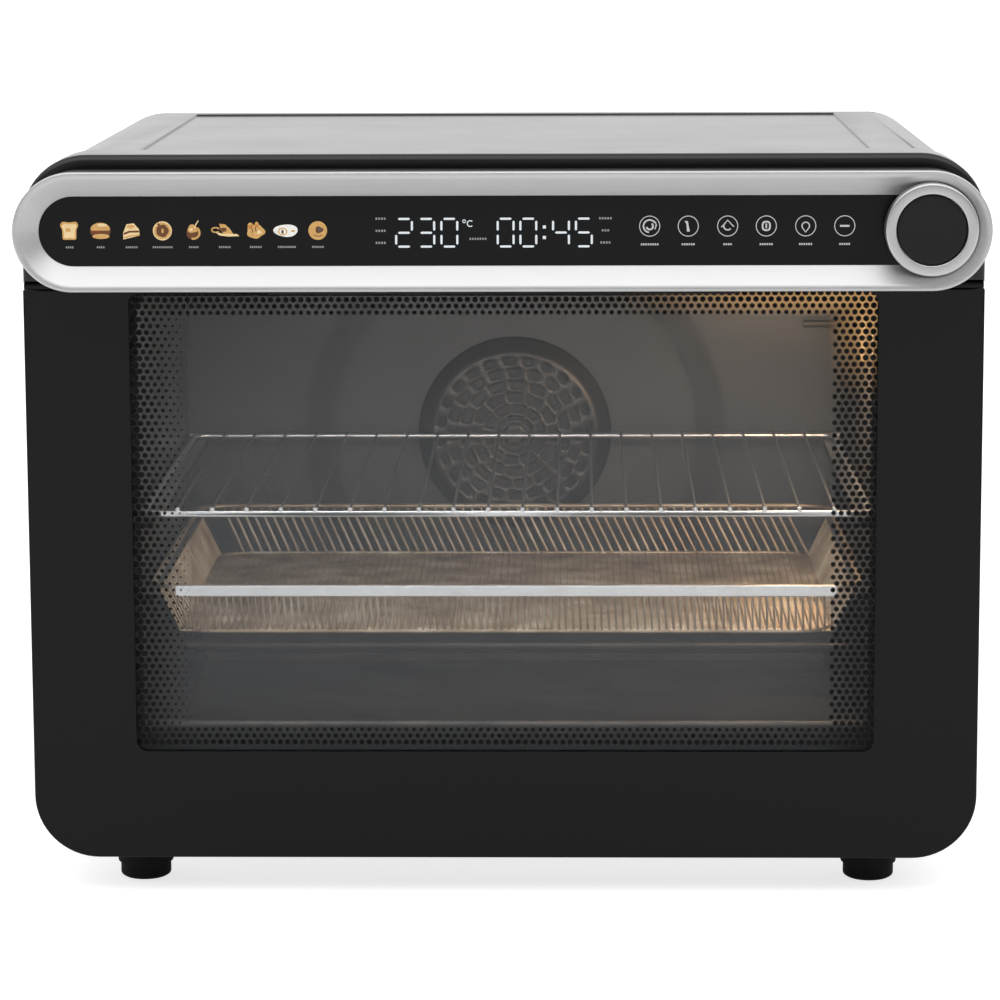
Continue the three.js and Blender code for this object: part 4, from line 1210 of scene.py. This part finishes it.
# Wire basket: a rim wire, sloping wires down each side that cross the floor, and a flat bar in front
def makeBasket():
    low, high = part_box("fry_basket")
    size = {key: value * mm for key, value in basketShape.items()}
    rim, wire, slope, lean, margin = (size[key] for key in ("rim", "wire", "slope", "lean", "margin"))
    x1, y0, y1 = high.x - size["side"], low.y + size["front"], high.y - size["side"]
    top, floor = high.z - rim, low.z + wire
    shapes = []
    for z, inset, radius in ((top, 0, rim), (floor + wire, slope, wire * 2)):
        left, right, front, rear = -x1 + inset, x1 - inset, y0 + inset, y1 - inset
        outline = [(left, front), (right, front), (right, rear), (left, rear)]
        loop = filleted(outline, [size["corner"]] * 4, 8)
        shapes.append(tube(np.insert(loop, 2, z, axis=1), radius, 8, closed=True))
    # across: down the left wall, over the floor and up the right wall
    y = np.arange(y0 + slope + margin, y1 - slope, size["mesh"])
    for sign in (-1, 1):
        tops = spots(sign * x1, y[::2] + lean * 0.4, top)
        shapes.append(bars(tops, spots(sign * (x1 - slope), y[::2], floor), wire))
    left = spots(-x1 + slope, y, floor)
    shapes.append(bars(left, left * (-1, 1, 1), wire))
    # from front to back: a close-set front wall and floor, and leaning wires up the rear wall
    x = np.arange(-x1 + slope + margin, x1 - slope, size["mesh"])
    feet = spots(x, y0 + slope, floor + wire)
    shapes.append(bars(spots(x - lean * 0.1, y0, top), feet, wire * 1.1))
    shapes.append(bars(feet, feet + (0, y1 - y0 - 2 * slope, 0), wire))
    x = np.arange(-x1 + slope + lean, x1 - slope, size["pitch"])
    shapes.append(bars(spots(x - lean, y1, top), spots(x, y1 - slope, floor + wire), wire * 1.3))
    # the basket wires carry the golden tint that paints the lamp's warm light
    makePiece("basket_wires", shapes, "basket", lampTintWire, ["fry_basket"], 50)
    # the bar carries a rounded section of (y, z) across the front
    depth, height = size["barDepth"], size["barHeight"]
    section = filleted([(0, 0), (depth, 0), (depth, height), (0, height)], [size["barRound"]] * 4, 3)
    bar = beam(section + (low.y, high.z - height), high.x - size["barEnd"])
    makePiece("basket_bar", [bar], "basket", chrome)


# each ring of slots by its inner and outer radius, and how many spokes part its slots
grilleShape = {
    "flat": 50, "holes": [(7, 11), (14, 18), (21, 25.5), (28.5, 33), (36, 40.5), (43.5, 47.5)],
    "spokes": [6, 10, 12, 15, 20, 24], "sides": 120, "sheet": 0.8, "inset": 0.4, "hub": 4, "eye": 0.001,
}


# A pressed dish on a polar grid: y steps back from its flat face over a rolled shoulder,
# and cells of the grid are left out as slots, more of them on the outer rings
def makeGrille():
    low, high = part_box("fan_grille")
    centre = ((low.x + high.x) / 2, (low.z + high.z) / 2)
    outer = (high.x - low.x) / 2
    flat, inset, sides = grilleShape["flat"] * mm, grilleShape["inset"] * mm, grilleShape["sides"]
    edges = [edge for ring in grilleShape["holes"] for edge in ring]
    radii = [grilleShape["eye"] * mm, grilleShape["hub"] * mm, *[edge * mm for edge in edges], flat]
    t = np.linspace(0, 1, 5)[1:]
    depth = high.y - low.y - 2 * inset
    shoulder = low.y + inset + depth * (3 * t**2 - 2 * t**3)
    profile = [(r, low.y + inset) for r in radii] + list(zip(flat + (outer - flat) * t, shoulder))
    points, faces = turned(profile, "y", (centre[0], 0, centre[1]), sides)
    row, column = np.divmod(np.arange(len(faces)), sides)
    isSlot = np.zeros(len(faces), bool)
    for ring, spokes in enumerate(grilleShape["spokes"]):
        period = sides // spokes
        isSlot |= (row == 2 + 2 * ring) & ((column + ring * 2) % period < period - 2)
    mesh = bpy.data.meshes.new("fan_cover")
    mesh.from_pydata(points.tolist(), [], faces[~isSlot].tolist())
    finishMesh(mesh, 40, recalculate=True)
    piece = addPiece("fan_cover", mesh, "oven_body", sooted, ["fan_grille"])
    wall = piece.modifiers.new("sheet", "SOLIDIFY")
    wall.thickness = grilleShape["sheet"] * mm
    wall.offset = 0


makeRack()
makeBasket()
makeGrille()
ease("cavity_shell", "cooking_chamber", "oven_body", enamelled, 0)
# the chamber back carries the painted shade on its embossed ring
ease("cavity_back", "chamber_back", "oven_body", ringShadeEnamel, 0, smoothAngle=12)
ease("lamp_glass", "lamp_window", "oven_body", glow, 0.8 * mm)
ease("crumb_tray", "tray_pan", "crumb_tray", heated, 0.25 * mm)
for row, count in (("upper", 3), ("lower", 2)):
    for index in range(1, count + 1):
        node = f"{row}_element_{index}"
        ease(node, f"{node}_rod", "oven_body", heated, 0.3 * mm)

lampLight = {"power": 1.3, "colour": (1.0, 0.7, 0.42), "size": 0.02, "inward": 0.03}
ceilingFill = {"power": 0.75, "width": 0.36, "height": 0.03, "back": 0.03, "down": 0.01, "tilt": 0.75}
doorFill = {"power": 0.37, "width": 0.37, "height": 0.2, "back": 0.006, "down": 0.13, "tilt": math.pi / 2}


# Plain fills: one under the chamber's ceiling, tilted to the back, and one in its mouth, facing the back
def lightChamber(name, fill):
    light = bpy.data.lights.new(name, "AREA")
    light.shape = "RECTANGLE"
    light.size = fill["width"]
    light.size_y = fill["height"]
    light.energy = fill["power"]
    lamp = addObject(name, light)
    lamp.location = (0, cavityLow.y + fill["back"], cavityHigh.z - fill["down"])
    lamp.rotation_euler = (fill["tilt"], 0, 0)
    lamp.visible_camera = False


# The lamp shines from just inside its window
def lightLamp():
    low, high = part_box("lamp_glass")
    light = bpy.data.lights.new("oven_lamp", "POINT")
    light.energy = lampLight["power"]
    light.color = lampLight["colour"]
    light.shadow_soft_size = lampLight["size"]
    lamp = addObject("oven_lamp", light)
    lamp.location = (low.x - lampLight["inward"], (low.y + high.y) / 2, (low.z + high.z) / 2)


lightChamber("ceiling_fill", ceilingFill)
lightChamber("door_fill", doorFill)
lightLamp()
print("inside done")


# ---- Finishes of the pieces that keep their own shape ----

keptFinishes = {
    zinc: [
        "base_plate", "fan_motor", "cooling_fan", "hinge_bracket_left", "hinge_bracket_right",
        "encoder_body", "hinge_spring_left", "hinge_spring_right", "button_spring", "rear_screw_low_left",
        "rear_screw_low_right", "rear_screw_high_left", "rear_screw_high_right",
    ],
    sooted: ["temperature_probe", "fan_impeller"],
    rubber: ["cord_gland", "rear_spacer_left", "rear_spacer_right"],
    silicone: ["door_gasket"],
    chrome: ["hinge_pin_left", "hinge_pin_right", "fan_shaft"],
    board: ["control_board", "power_board"],
    ceramic: ["lamp_holder", "thermal_cutout"],
    glow: ["lamp_bulb"],
    moulded: ["display_module"],
}
for material, names in keptFinishes.items():
    for name in names:
        cadNodes[name].data.materials.clear()
        cadNodes[name].data.materials.append(material)
print("all finishes set")
